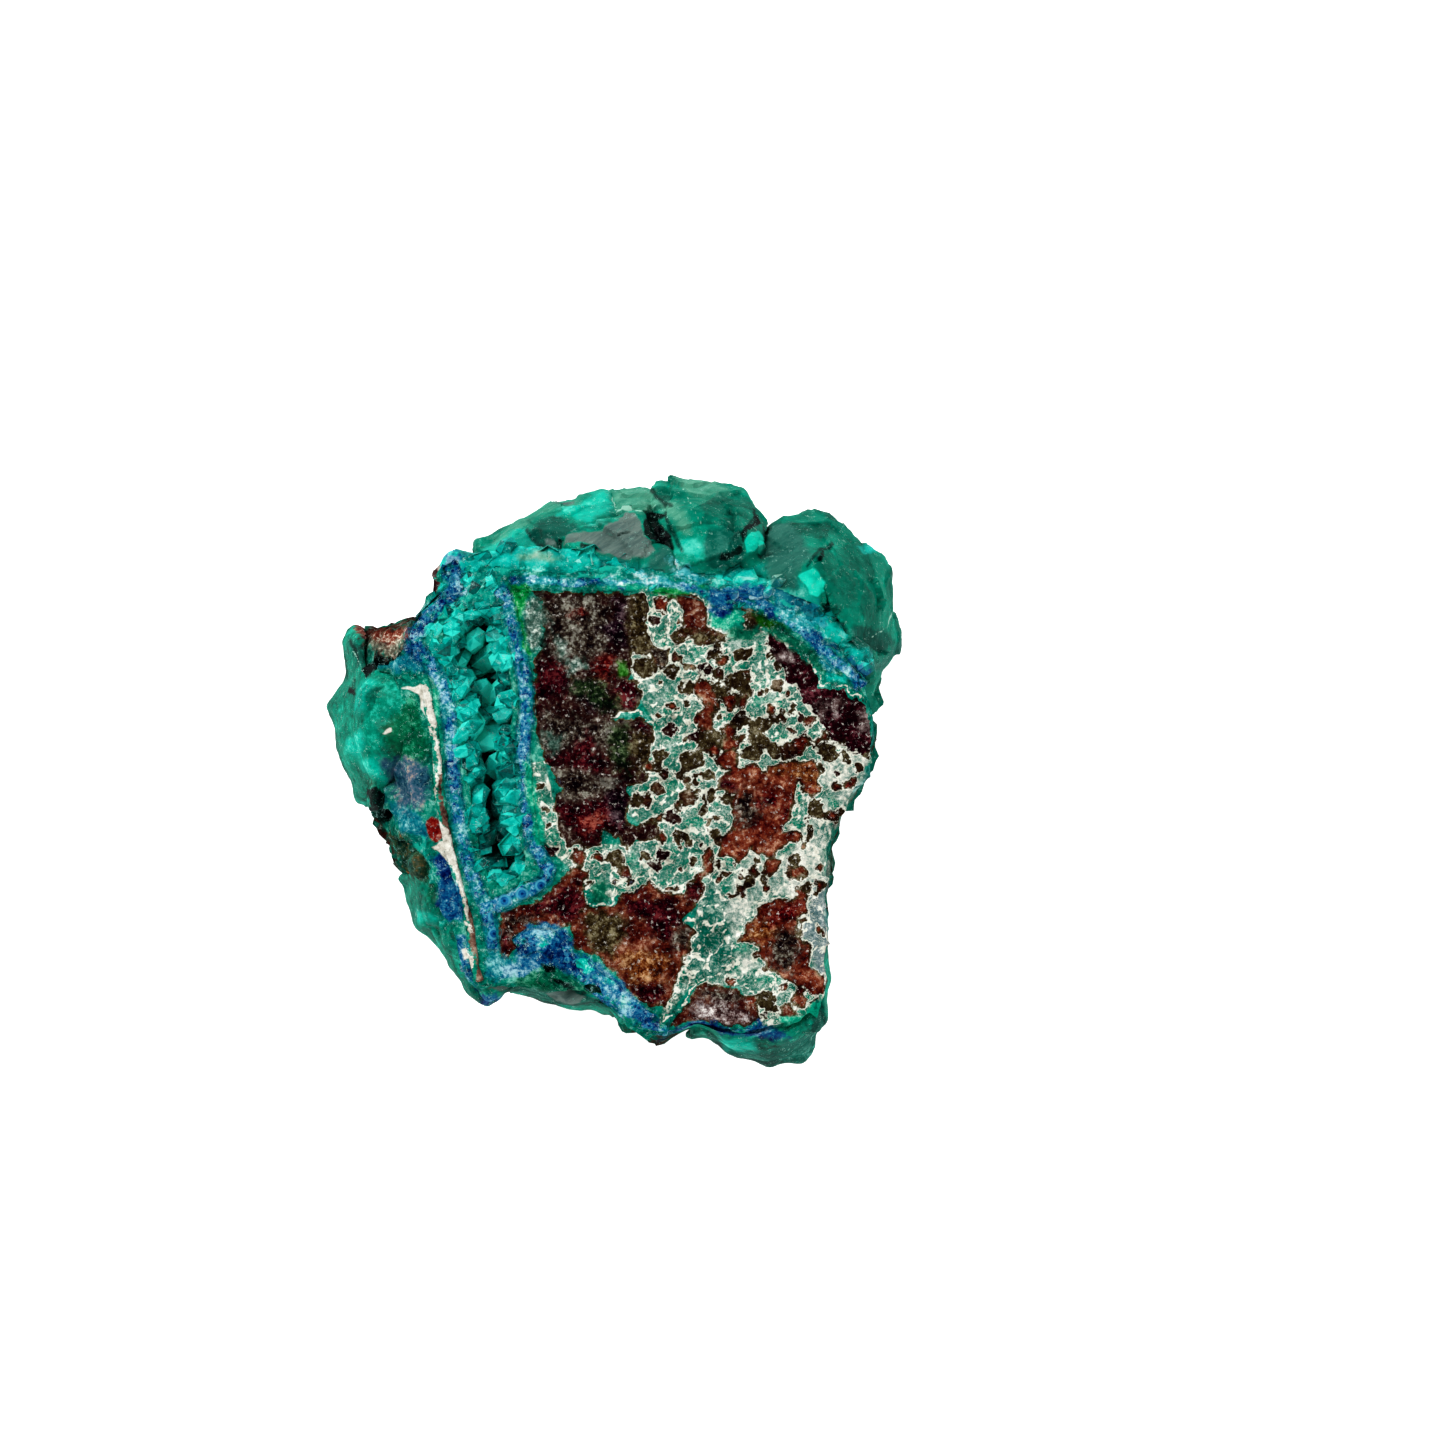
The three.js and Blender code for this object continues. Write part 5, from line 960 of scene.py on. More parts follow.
# Each kind of patch: its darkest to its palest colour, how far its edge wanders and how soft it is.
LOOKS = {
    "taupe": ([(8, 0, 6), (42, 28, 24), (84, 74, 62), (160, 160, 146)], 1.6, 0.6),
    "maroon": ([(6, 0, 4), (32, 0, 10), (64, 4, 20), (116, 44, 48)], 1.6, 0.5),
    "ink": ([(2, 0, 4), (16, 2, 14), (40, 16, 30), (110, 90, 96)], 1.0, 0.4),
    "red": ([(20, 0, 4), (66, 0, 10), (108, 12, 16), (176, 96, 80)], 1.4, 0.5),
    "moss": ([(4, 12, 6), (22, 38, 22), (48, 68, 38), (110, 130, 94)], 1.4, 0.5),
    "leaf": ([(6, 44, 6), (16, 74, 12), (34, 100, 20), (100, 170, 84)], 0.8, 0.3),
    "olive": ([(18, 10, 4), (50, 38, 20), (82, 70, 42), (146, 138, 106)], 1.2, 0.5),
    "amber": ([(40, 6, 4), (100, 44, 20), (150, 88, 40), (220, 176, 128)], 1.6, 0.6),
    "foam": ([(36, 10, 14), (92, 66, 64), (168, 152, 148), (244, 240, 236)], 1.6, 0.6),
    "cells": ([(40, 40, 60), (84, 96, 124), (130, 146, 168), (230, 234, 234)], 0.8, 0.3),
    "peppered": ([(6, 16, 16), (30, 60, 50), (84, 116, 104), (230, 240, 230)], 1.6, 0.6),
    "pale": ([(30, 100, 88), (116, 150, 138), (218, 218, 206), (248, 246, 236)], 1.2, 0.4),
    "mist": ([(40, 76, 78), (84, 116, 118), (126, 146, 148), (222, 228, 224)], 1.2, 0.4),
    "green": ([(0, 60, 24), (0, 120, 56), (20, 166, 84), (150, 226, 180)], 0.5, 0.2),
    "deep": ([(0, 40, 30), (0, 82, 64), (8, 112, 84), (100, 180, 150)], 0.8, 0.3),
    "fresh": ([(0, 90, 76), (0, 140, 114), (16, 178, 142), (150, 230, 206)], 0.4, 0.15),
    "turquoise": ([(0, 84, 80), (0, 130, 116), (14, 170, 150), (150, 230, 216)], 0.4, 0.15),
    "layer": ([(0, 60, 84), (0, 100, 112), (16, 140, 146), (150, 214, 216)], 0.5, 0.15),
    "cyan": ([(0, 120, 110), (0, 172, 156), (20, 206, 190), (170, 240, 230)], 0.5, 0.2),
    "fibres": ([(0, 110, 122), (16, 156, 164), (110, 204, 208), (244, 252, 250)], 1.4, 0.3),
    "blue": ([(0, 16, 66), (4, 66, 120), (30, 120, 156), (170, 212, 222)], 1.0, 0.25),
    "navy": ([(0, 0, 36), (0, 22, 80), (8, 60, 120), (110, 160, 196)], 0.8, 0.25),
    "speckled": ([(10, 46, 70), (40, 92, 112), (90, 112, 134), (196, 176, 156)], 1.6, 0.5),
    "seablue": ([(0, 60, 80), (0, 104, 124), (30, 140, 150), (150, 214, 216)], 0.9, 0.3),
    "dark": ([(0, 0, 4), (0, 12, 12), (6, 36, 30), (60, 110, 100)], 0.3, 0.1),
    "ochre": ([(2, 20, 18), (20, 58, 44), (76, 80, 52), (190, 116, 76)], 1.8, 0.6),
    "rust": ([(50, 0, 4), (100, 4, 10), (140, 30, 20), (210, 160, 140)], 0.3, 0.1),
    "stained": ([(24, 0, 8), (92, 26, 24), (146, 74, 54), (250, 238, 216)], 1.4, 0.4),
    "shell": ([(24, 20, 20), (84, 78, 68), (146, 146, 126), (244, 242, 226)], 1.4, 0.4),
    "white": ([(150, 146, 130), (210, 206, 192), (236, 234, 224), (250, 250, 246)], 0.15, 0.06),
    "glass": ([(0, 50, 36), (0, 86, 60), (0, 112, 76), (60, 174, 136)], 0.9, 0.5),
    "lit": ([(0, 112, 98), (0, 158, 138), (4, 192, 168), (120, 232, 212)], 0.6, 0.3),
    "dim": ([(0, 44, 40), (0, 78, 66), (4, 104, 88), (80, 160, 144)], 0.5, 0.3),
    "grey": ([(46, 62, 60), (82, 106, 102), (118, 138, 130), (190, 198, 188)], 0.3, 0.12),
    "facet_sheen": ([(0, 66, 58), (20, 96, 84), (54, 122, 108), (140, 190, 172)], 0.7, 0.4),
    "sage": ([(6, 104, 84), (56, 144, 120), (100, 172, 146), (180, 212, 192)], 0.7, 0.4),
    "sliver": ([(8, 0, 6), (34, 4, 14), (84, 44, 44), (224, 214, 200)], 0.3, 0.1),
    "gem": ([(0, 150, 130), (0, 196, 170), (30, 224, 196), (190, 250, 236)], 0.15, 0.08),
}


def laid(tree, under, speckle, wobble, *kinds):
    """Lays patches over a colour, one after the other."""
    for kind in kinds:
        tones, wander, softness = LOOKS[kind]
        zone = use(tree, patch, Distance=read(tree, kind), Wobble=wobble, Wander=wander, Softness=softness)["Mask"]
        under = over(tree, zone, under, ramp(tree, speckle, tones))
    return under


def new_material(name):
    """A material with its shader, and the place on the piece in millimetres."""
    material = bpy.data.materials.new(name)
    material.use_nodes = True
    tree = material.node_tree
    where = add(tree, "TexCoord").outputs["Object"]
    place = add(tree, "VectorMath", {0: where, "Scale": 1 / MM}, operation="SCALE").outputs[0]
    return material, tree, tree.nodes["Principled BSDF"], place


def bumped(tree, shader, height, distance, strength=0.6):
    """Small relief, distance in millimetres."""
    plugs = {"Height": height, "Distance": distance * MM, "Strength": strength}
    tree.links.new(add(tree, "Bump", plugs).outputs["Normal"], shader.inputs["Normal"])


def wobbly(tree, place, size):
    """Noise that pushes the patches' edges about."""
    plugs = {"Vector": place, "Scale": 1 / size, "Detail": 5.0, "Roughness": 0.65}
    return add(tree, "TexNoise", plugs).outputs["Fac"]


ore, tree, shader, place = new_material("Ore")
brown, tone = read(tree, "brown"), read(tree, "tone")
speckle = use(tree, grain, Place=place, Size=0.36)["Value"]
wobble = wobbly(tree, place, 0.8)

# The copper silicate: grey teal with pale threads in the lace, deep emerald around it.
swell = add(tree, "TexNoise", {"Vector": place, "Scale": 1.5, "Detail": 3.0}).outputs["Fac"]
teal = ramp(tree, speckle, [(0, 76, 62), (28, 108, 90), (70, 134, 116), (196, 210, 200)])
emerald = ramp(tree, speckle, [(0, 76, 60), (0, 112, 88), (14, 138, 110), (130, 190, 168)])
teal = over(tree, use(tree, mottle, Place=place, Size=2.0, Balance=0.47, Softness=0.05)["Share"], emerald, teal)
around = ramp(tree, speckle, [(0, 64, 56), (0, 110, 92), (4, 144, 122), (120, 200, 180)])
ground = over(tree, step(tree, read(tree, "lace"), 0.3, 0.0), around, teal)
ground = over(tree, step(tree, read(tree, "channel"), 0.2, -0.3), ground, ramp(
    tree, speckle, [(0, 72, 56), (0, 90, 74), (28, 114, 98), (176, 196, 180)]))
ground = laid(tree, ground, speckle, wobble, "pale", "mist")

# The cream lace: thin along the pebbles and windows, in curls and clots between them.
curls = use(tree, veinlets, Place=place, Size=0.7, Width=0.014, Level=0.42)["Mask"]
curls = sum_of(tree, "MULTIPLY", curls, step(tree, read(tree, "channel"), -0.8, 0.1))
wisps = use(tree, veinlets, Place=place, Size=0.42, Width=0.022, Level=0.44)["Mask"]
wisps = sum_of(tree, "MULTIPLY", wisps, step(tree, read(tree, "lace"), 0.1, 0.0))
ground = over(tree, sum_of(tree, "MULTIPLY", wisps, 0.6), ground, paint(196, 210, 198))
shake = add(tree, "TexNoise", {"Vector": place, "Scale": 5.0, "Detail": 4.0}).outputs["Fac"]
shaken = sum_of(tree, "ADD", brown, sum_of(tree, "MULTIPLY", sum_of(tree, "SUBTRACT", shake, 0.5), 0.4))
width = add(tree, "MapRange", {"Value": swell, "From Min": 0.42, "From Max": 0.7, "To Min": 0.03,
                               "To Max": 0.18}).outputs["Result"]
rim = step(tree, shaken, sum_of(tree, "ADD", width, 0.04), width)
drawn = sum_of(tree, "ADD", read(tree, "lines"), sum_of(tree, "MULTIPLY", sum_of(tree, "SUBTRACT", shake, 0.5), 0.3))
drawn = step(tree, drawn, sum_of(tree, "ADD", width, 0.02), sum_of(tree, "MULTIPLY", width, 0.6))
net_width = sum_of(tree, "MULTIPLY", sum_of(tree, "SUBTRACT", width, 0.05), 0.6)
net = step(tree, read(tree, "net"), sum_of(tree, "ADD", net_width, 0.03), net_width)
clots = sum_of(tree, "MULTIPLY", step(tree, swell, 0.6, 0.64), step(tree, shaken, 0.4, 0.15))
lace = sum_of(tree, "MAXIMUM", sum_of(tree, "MAXIMUM", rim, clots), sum_of(tree, "MAXIMUM", curls, net))
lace = sum_of(tree, "MAXIMUM", sum_of(tree, "MULTIPLY", lace, step(tree, read(tree, "lace"), 0.12, 0.02)), drawn)
cream = ramp(tree, speckle, [(160, 160, 144), (222, 222, 206), (244, 244, 232), (254, 254, 248)])
ground = over(tree, sum_of(tree, "MULTIPLY", lace, 0.94), ground, cream)

# The brown ironstone of the windows and the pebbles, olive at its edges.
warm, in_pebble = read(tree, "warm"), read(tree, "pebble")
cold = ramp(tree, speckle, [(6, 0, 4), (34, 4, 12), (62, 40, 34), (150, 142, 128)])
rusty = ramp(tree, speckle, [(30, 0, 6), (92, 24, 18), (140, 66, 42), (206, 158, 128)])
olive = ramp(tree, speckle, [(14, 4, 4), (38, 26, 14), (70, 60, 36), (150, 142, 114)])
rough = use(tree, grain, Place=place, Size=0.3, Contrast=1.6)["Value"]
rock = over(tree, step(tree, warm, 0.2, 0.75), cold, rusty)
rock = laid(tree, rock, rough, wobble, "taupe", "maroon", "ink", "moss", "olive", "amber", "red", "foam", "cells")
shade = use(tree, mottle, Place=place, Size=0.9, Balance=0.5, Softness=0.1, Dark=paint(110, 84, 90),
            Light=paint(255, 255, 255))["Color"]
rock = over(tree, 0.5, rock, shade, "MULTIPLY")
rind = sum_of(tree, "MAXIMUM", sum_of(tree, "MULTIPLY", in_pebble, step(tree, warm, 0.5, 0.3)),
              step(tree, brown, -0.3, -0.08))
rock = over(tree, sum_of(tree, "MULTIPLY", rind, step(tree, warm, 0.0, 0.04)), rock, olive)
black = ramp(tree, speckle, [(2, 0, 2), (22, 2, 8), (44, 6, 16), (120, 60, 70)])
rock = over(tree, sum_of(tree, "MULTIPLY", step(tree, warm, 0.04, 0.0), sum_of(tree, "SUBTRACT", 1.0, in_pebble)),
            rock, laid(tree, black, speckle, wobble, "foam"))
glints = use(tree, flecks, Place=place, Size=0.05, Level=0.775, Drift=0.24)["Mask"]
rock = over(tree, sum_of(tree, "MULTIPLY", glints, 0.9), rock, paint(226, 222, 212))
surface = over(tree, step(tree, shaken, 0.03, -0.03), ground, rock)
surface = over(tree, sum_of(tree, "MULTIPLY", drawn, 0.9), surface, cream)

# The other minerals, each in its own patches; among them the lit patches are painted light and the
# dark patches are painted shade.
surface = laid(tree, surface, speckle, wobble, "peppered", "leaf", "green", "deep", "glass", "lit", "ochre", "layer",
               "turquoise", "fresh", "cyan", "seablue", "blue", "navy", "speckled", "rust", "dark")
# Painted facet light and shade: the druse's facets are painted lighter or darker by their tone.
drused = sum_of(tree, "MULTIPLY", step(tree, read(tree, "turquoise"), 0.0, -0.1), 0.6)
surface = over(tree, sum_of(tree, "MULTIPLY", step(tree, tone, 0.55, 0.9), drused), surface, paint(40, 200, 176))
surface = over(tree, sum_of(tree, "MULTIPLY", step(tree, tone, 0.4, 0.1), drused), surface, paint(0, 80, 76))
specks_and_glints = use(tree, flecks, Place=place, Size=0.08, Level=0.68, Drift=0.14)["Mask"]
not_lace = sum_of(tree, "MULTIPLY", step(tree, read(tree, "lace"), 0.0, 0.3), step(tree, brown, 0.0, 0.1))
surface = over(tree, sum_of(tree, "MULTIPLY", sum_of(tree, "MULTIPLY", specks_and_glints, 0.7), not_lace), surface,
               paint(176, 230, 222))
surface = laid(tree, surface, speckle, wobble, "stained", "shell", "fibres", "white")

# The broken sides and the back: brown ore with crusts of green and teal.
broken = use(tree, mottle, Place=place, Size=3.4, Balance=0.5, Softness=0.04, Dark=paint(58, 26, 20),
             Light=paint(4, 100, 82))["Color"]
broken = over(tree, 0.8, broken, use(tree, mottle, Place=place, Size=0.8, Balance=0.45, Softness=0.12,
                                     Dark=paint(96, 96, 96), Light=paint(255, 255, 255))["Color"], "MULTIPLY")
broken = over(tree, sum_of(tree, "MULTIPLY", specks_and_glints, 0.5), broken, paint(150, 190, 176))
crusty = ramp(tree, speckle, [(0, 70, 66), (0, 112, 108), (6, 146, 142), (120, 206, 204)])
broken = over(tree, sum_of(tree, "MULTIPLY", read(tree, "crust"), 0.8), broken, crusty)
surface = over(tree, read(tree, "above"), broken, surface)
surface = laid(tree, surface, speckle, wobble, "sliver")
tree.links.new(surface, shader.inputs["Base Color"])
shader.inputs["Roughness"].default_value = 0.5
shader.inputs["Specular IOR Level"].default_value = 0.0
relief = add(tree, "TexNoise", {"Vector": place, "Scale": 4.0, "Detail": 6.0, "Roughness": 0.7}).outputs["Fac"]
bumped(tree, shader, relief, 0.2)
stone.data.materials.append(ore)
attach(stone, "root")
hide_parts("host_rock")

# ---------------------------------------------------------------------------------------------------
# The pale vein. A thin seam of white carbonate with a brown iron-stained edge, which healed a crack
# beside the hollow and was cut with the face.

# The vein's strips, as routes and half widths.
VEIN_WHITE = [
    ([(-18.4, 7), (-17.2, 7.2), (-16.4, 7.2), (-16, 6.2), (-15.8, 5), (-15.5, 4.2)], 0.34),
    ([(-16.1, 3.8), (-15.5, 3.2), (-15.2, 2.4), (-15, 1.2), (-15, 0)], 0.16),
    ([(-16, 2), (-15.9, 1), (-15.4, 0.3)], 0.16),
    ([(-15.9, 0.8), (-15.3, 0), (-15.2, -1), (-15.4, -2), (-15.5, -3), (-15.1, -3.9), (-14.7, -5)], 0.13),
    ([(-14.7, -5), (-14.3, -6.4), (-13.9, -7.6)], 0.42),
    ([(-13.9, -7.6), (-13.3, -9), (-13, -10.2)], 0.24),
    ([(-13, -10.2), (-12.8, -11.4), (-12.6, -12.6), (-12.3, -13.6)], 0.12),
    ([(-13.3, -12.9), (-12.9, -12.8)], 0.2),
    ([(-13, -15.2), (-12.7, -15.7)], 0.34),
    ([(-12.4, -16), (-12.5, -16.8)], 0.24),
    ([(-12.6, -17), (-12.1, -17.9), (-11.5, -18.6), (-11.2, -19.2)], 0.12),
]
VEIN_BROWN = [
    ([(-15, 0), (-14.9, -1.4), (-14.8, -3), (-14.4, -4.6), (-13.9, -6), (-13.5, -7.4), (-13.2, -8)], 0.2),
    ([(-12.7, -10.8), (-12.4, -12.4), (-12.1, -13.6)], 0.2),
    ([(-12.1, -13.6), (-11.8, -15), (-11.5, -16.4), (-11.4, -18)], 0.42),
]


def from_strips(spots, strips):
    """Distance to the edge of any strip, which is a route and a half width."""
    return np.min([from_route(spots, route) - half_width for route, half_width in strips], axis=0)


vein = copy_of("Pale_vein", "calcite_seam")
remeshed(vein, 0.15)
points, facing = places(vein), facings(vein)
spots = warped(points, 0.8, 0.1)
keep(vein, "chalk", from_strips(spots, VEIN_WHITE))
keep(vein, "stain", from_strips(spots, VEIN_BROWN))
keep(vein, "blue", from_any(spots, PATCHES["blue"]))
points += facing * (0.02 + 0.1 * lumps(points, 0.9, 3))[:, None]
move(vein, points)
pick(vein)
bpy.ops.object.shade_smooth()

carbonate, tree, shader, place = new_material("Carbonate")
speckle = use(tree, grain, Place=place, Size=0.4)["Value"]
wobble = wobbly(tree, place, 0.5)
filled = ramp(tree, speckle, [(0, 60, 50), (0, 118, 96), (20, 156, 130), (150, 210, 196)])
filled = laid(tree, filled, speckle, wobble, "blue")
brown_edge = use(tree, patch, Distance=read(tree, "stain"), Wobble=wobble, Wander=0.6, Softness=0.08)["Mask"]
stain = ramp(tree, speckle, [(48, 20, 18), (96, 66, 58), (132, 100, 84), (190, 170, 150)])
filled = over(tree, brown_edge, filled, stain)
chalky = use(tree, patch, Distance=read(tree, "chalk"), Wobble=wobble, Wander=0.5, Softness=0.04)["Mask"]
chalk = ramp(tree, speckle, [(120, 116, 100), (206, 202, 188), (236, 234, 224), (252, 252, 248)])
tree.links.new(over(tree, chalky, filled, chalk), shader.inputs["Base Color"])
shader.inputs["Roughness"].default_value = 0.6
shader.inputs["Specular IOR Level"].default_value = 0.0
relief = add(tree, "TexNoise", {"Vector": place, "Scale": 6.0, "Detail": 4.0}).outputs["Fac"]
bumped(tree, shader, relief, 0.15)
vein.data.materials.append(carbonate)
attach(vein, "root")
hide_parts("calcite_seam")

# ---------------------------------------------------------------------------------------------------
# The blue layers. Shattuckite, a fibrous blue copper silicate, which grew as small felted balls in a
# layer a millimetre thick: where the face cuts them they show as dark dots in pale rings.

# The middles of the round balls that the face cuts open.
ORBS = [(-9.5, -10.9), (-8.0, -10.3), (-6.4, -9.6), (-10.4, -12.2), (-10.4, -13.7), (-5.4, -8.4)]

fibres, tree, shader, place = new_material("Blue_fibres")
ball, middle, orb = read(tree, "ball"), read(tree, "middle"), read(tree, "orb")
speckle = use(tree, grain, Place=place, Size=0.36, Contrast=1.3)["Value"]
wobble = wobbly(tree, place, 0.6)
blue = ramp(tree, speckle, [(0, 14, 76), (4, 72, 130), (26, 128, 166), (170, 216, 226)])
sea = ramp(tree, speckle, [(0, 70, 76), (0, 122, 118), (16, 164, 152), (190, 234, 226)])
blue = over(tree, use(tree, mottle, Place=place, Size=1.0, Balance=0.56, Softness=0.06)["Share"], blue, sea)
dots = sum_of(tree, "MULTIPLY", step(tree, ball, 0.14, 0.06), 0.7)
blue = over(tree, dots, blue, paint(0, 34, 104))
rings = sum_of(tree, "MULTIPLY", step(tree, ball, 0.16, 0.2), step(tree, ball, 0.28, 0.22))
blue = over(tree, sum_of(tree, "MULTIPLY", rings, 0.3), blue, paint(90, 180, 204))
specks_and_glints = use(tree, flecks, Place=place, Size=0.08, Level=0.64, Drift=0.16)["Mask"]
blue = over(tree, sum_of(tree, "MULTIPLY", specks_and_glints, 0.75), blue, paint(186, 226, 232))
from_edge = sum_of(tree, "SUBTRACT", 1.0, middle)
edge = use(tree, patch, Distance=from_edge, Wobble=wobble, Wander=1.0, Softness=0.15)["Mask"]
blue = over(tree, edge, blue, sea)
blue = laid(tree, blue, speckle, wobble, "fresh", "cyan", "fibres")
halo = sum_of(tree, "MULTIPLY", step(tree, orb, 0.3, 0.38), step(tree, orb, 0.56, 0.46))
blue = over(tree, step(tree, orb, 0.56, 0.46), blue, over(tree, speckle, paint(0, 60, 120), paint(40, 130, 180)))
blue = over(tree, sum_of(tree, "MULTIPLY", halo, 0.6), blue, paint(90, 190, 206))
blue = over(tree, step(tree, orb, 0.2, 0.08), blue, paint(0, 36, 96))
tree.links.new(blue, shader.inputs["Base Color"])
shader.inputs["Roughness"].default_value = 0.5
shader.inputs["Specular IOR Level"].default_value = 0.0
relief = add(tree, "TexNoise", {"Vector": place, "Scale": 9.0, "Detail": 3.0}).outputs["Fac"]
bumped(tree, shader, relief, 0.12)

for name, node, routes, half_width, sunk in [
    ("Blue_layer_by_hollow", "shattuckite_vug_band", [VUG_ROUTE_LEFT, VUG_ROUTE_RIGHT], 0.5, 0.2),
    ("Blue_layer_under_crest", "shattuckite_crest_band", [CREST_ROUTE], 0.36, 0.3),
    ("Blue_layer_at_foot", "shattuckite_foot_band", [FOOT_ROUTE], 1.0, 0.3),
]:
    layer = copy_of(name, node)
    remeshed(layer, 0.14)
    points, facing = places(layer), facings(layer)
    near, _ = cells(points, 0.5)
    spots = warped(points, 1.3, 0.16)
    wander = 0.3 * lumps(points, 1.3, 2)
    across = from_lines(points[:, :2], routes) + wander
    orb = np.min([np.hypot(points[:, 0] - x, points[:, 1] - y) for x, y in ORBS], axis=0)
    keep(layer, "ball", near)
    keep(layer, "middle", across / half_width)
    keep(layer, "orb", orb)
    for kind in ["fresh", "cyan", "fibres"]:
        keep(layer, kind, from_any(spots, PATCHES[kind]))
    swell = 0.06 + 0.08 * lumps(points, 1.1) + 0.22 * (0.2 - near) * (orb > 0.5)
    up = ease(facing[:, 2], 0.2, 0.7)
    sink = sunk + 0.5 * ease(across, half_width * 0.7, half_width * 1.3) + 0.12 * lumps(points, 2.2, 2, 5.0)
    points += facing * swell[:, None]
    points[:, 2] -= sink * up
    move(layer, points)
    pick(layer)
    bpy.ops.object.shade_smooth()
    layer.data.materials.append(fibres)
    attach(layer, "root")
    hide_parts(node)

# ---------------------------------------------------------------------------------------------------
# The green crystals of the crest, the flanks and the foot. Dioptase, a clear emerald copper silicate,
# in stout prisms that have grown into each other, broken here and there along their cleavage.

SHARP = math.radians(30)  # crystal edges that turn further than this stay sharp

dioptase, tree, shader, place = new_material("Dioptase")
tone = read(tree, "tone")
smooth = use(tree, grain, Place=place, Size=1.4, Contrast=0.5)["Value"]
grainy = use(tree, grain, Place=place, Size=0.45, Contrast=0.9)["Value"]
small = read(tree, "small")
speckle = sum_of(tree, "ADD", sum_of(tree, "MULTIPLY", small, grainy),
                 sum_of(tree, "MULTIPLY", sum_of(tree, "SUBTRACT", 1.0, small), smooth))
wobble = wobbly(tree, place, 0.9)
# Painted facet light and shade: each facet's random tone makes it a little lighter or darker.
light = sum_of(tree, "MULTIPLY", sum_of(tree, "SUBTRACT", tone, 0.6), 0.4)
speckle = sum_of(tree, "ADD", speckle, light)
green = ramp(tree, speckle, [(0, 60, 50), (0, 112, 92), (0, 148, 122), (50, 206, 180)])
# The dim patches are painted shade and the lit patches painted light; the rest are minerals.
green = laid(tree, green, speckle, wobble, "dim", "glass", "lit", "seablue", "speckled", "ochre", "turquoise", "cyan",
             "blue", "navy", "stained", "shell")
# Painted reflections on the facets that face the light: the striated sheen, sage and grey patches.
turned = add(tree, "VectorRotate", {"Vector": place, "Angle": -0.6}, rotation_type="Z_AXIS").outputs[0]
stretched = add(tree, "VectorMath", {0: turned, 1: (0.4, 3.0, 1.0)}, operation="MULTIPLY").outputs[0]
streaks = use(tree, grain, Place=stretched, Size=1.6, Contrast=0.5)["Value"]
green = laid(tree, green, streaks, wobble, "facet_sheen", "sage", "grey")
# Bright gem patches, rust, and the dark patches of painted shade.
green = laid(tree, green, speckle, wobble, "gem", "rust", "dark")
# Painted shade in the creases between the crystals, then painted highlights along their edges.
crease_shade = step(tree, sum_of(tree, "ADD", read(tree, "crease_shade"), sum_of(tree, "MULTIPLY", wobble, 0.3)), 0.42, 0.2)
green = over(tree, sum_of(tree, "MULTIPLY", crease_shade, 0.8), green, paint(0, 30, 28))
drawn = step(tree, sum_of(tree, "ADD", read(tree, "edge_highlight"), sum_of(tree, "MULTIPLY", wobble, 0.16)), 0.16, 0.1)
green = over(tree, sum_of(tree, "MULTIPLY", drawn, 0.8), green, paint(176, 226, 206))
hairs = use(tree, veinlets, Place=place, Size=1.1, Width=0.008, Level=0.54)["Mask"]
green = over(tree, sum_of(tree, "MULTIPLY", hairs, 0.35), green, paint(60, 190, 166))
# Painted glints: small white sparkles on the crystals.
specks_and_glints = use(tree, flecks, Place=place, Size=0.07, Level=0.72, Drift=0.12)["Mask"]
green = over(tree, sum_of(tree, "MULTIPLY", specks_and_glints, 0.8), green, paint(176, 240, 222))
green = laid(tree, green, speckle, wobble, "fibres", "white")
tree.links.new(green, shader.inputs["Base Color"])
shader.inputs["Roughness"].default_value = 0.16
shader.inputs["IOR"].default_value = 1.66
shader.inputs["Specular IOR Level"].default_value = 0.0
shader.inputs["Transmission Weight"].default_value = 0.08
relief = add(tree, "TexNoise", {"Vector": place, "Scale": 1.6, "Detail": 5.0, "Roughness": 0.6}).outputs["Fac"]
bumped(tree, shader, relief, 0.2, 0.5)
depth = add(tree, "VolumeAbsorption")
depth.inputs["Color"].default_value = (0.02, 0.75, 0.6, 1.0)
depth.inputs["Density"].default_value = 200.0
tree.links.new(depth.outputs[0], tree.nodes["Material Output"].inputs["Volume"])


def softened(piece, times):
    """Rounds off a piece's edges a little, some times over."""
    bpy.context.view_layer.objects.active = piece
    bpy.ops.object.mode_set(mode="EDIT")
    bpy.ops.mesh.select_all(action="SELECT")
    bpy.ops.mesh.vertices_smooth(factor=0.5, repeat=times)
    bpy.ops.object.mode_set(mode="OBJECT")


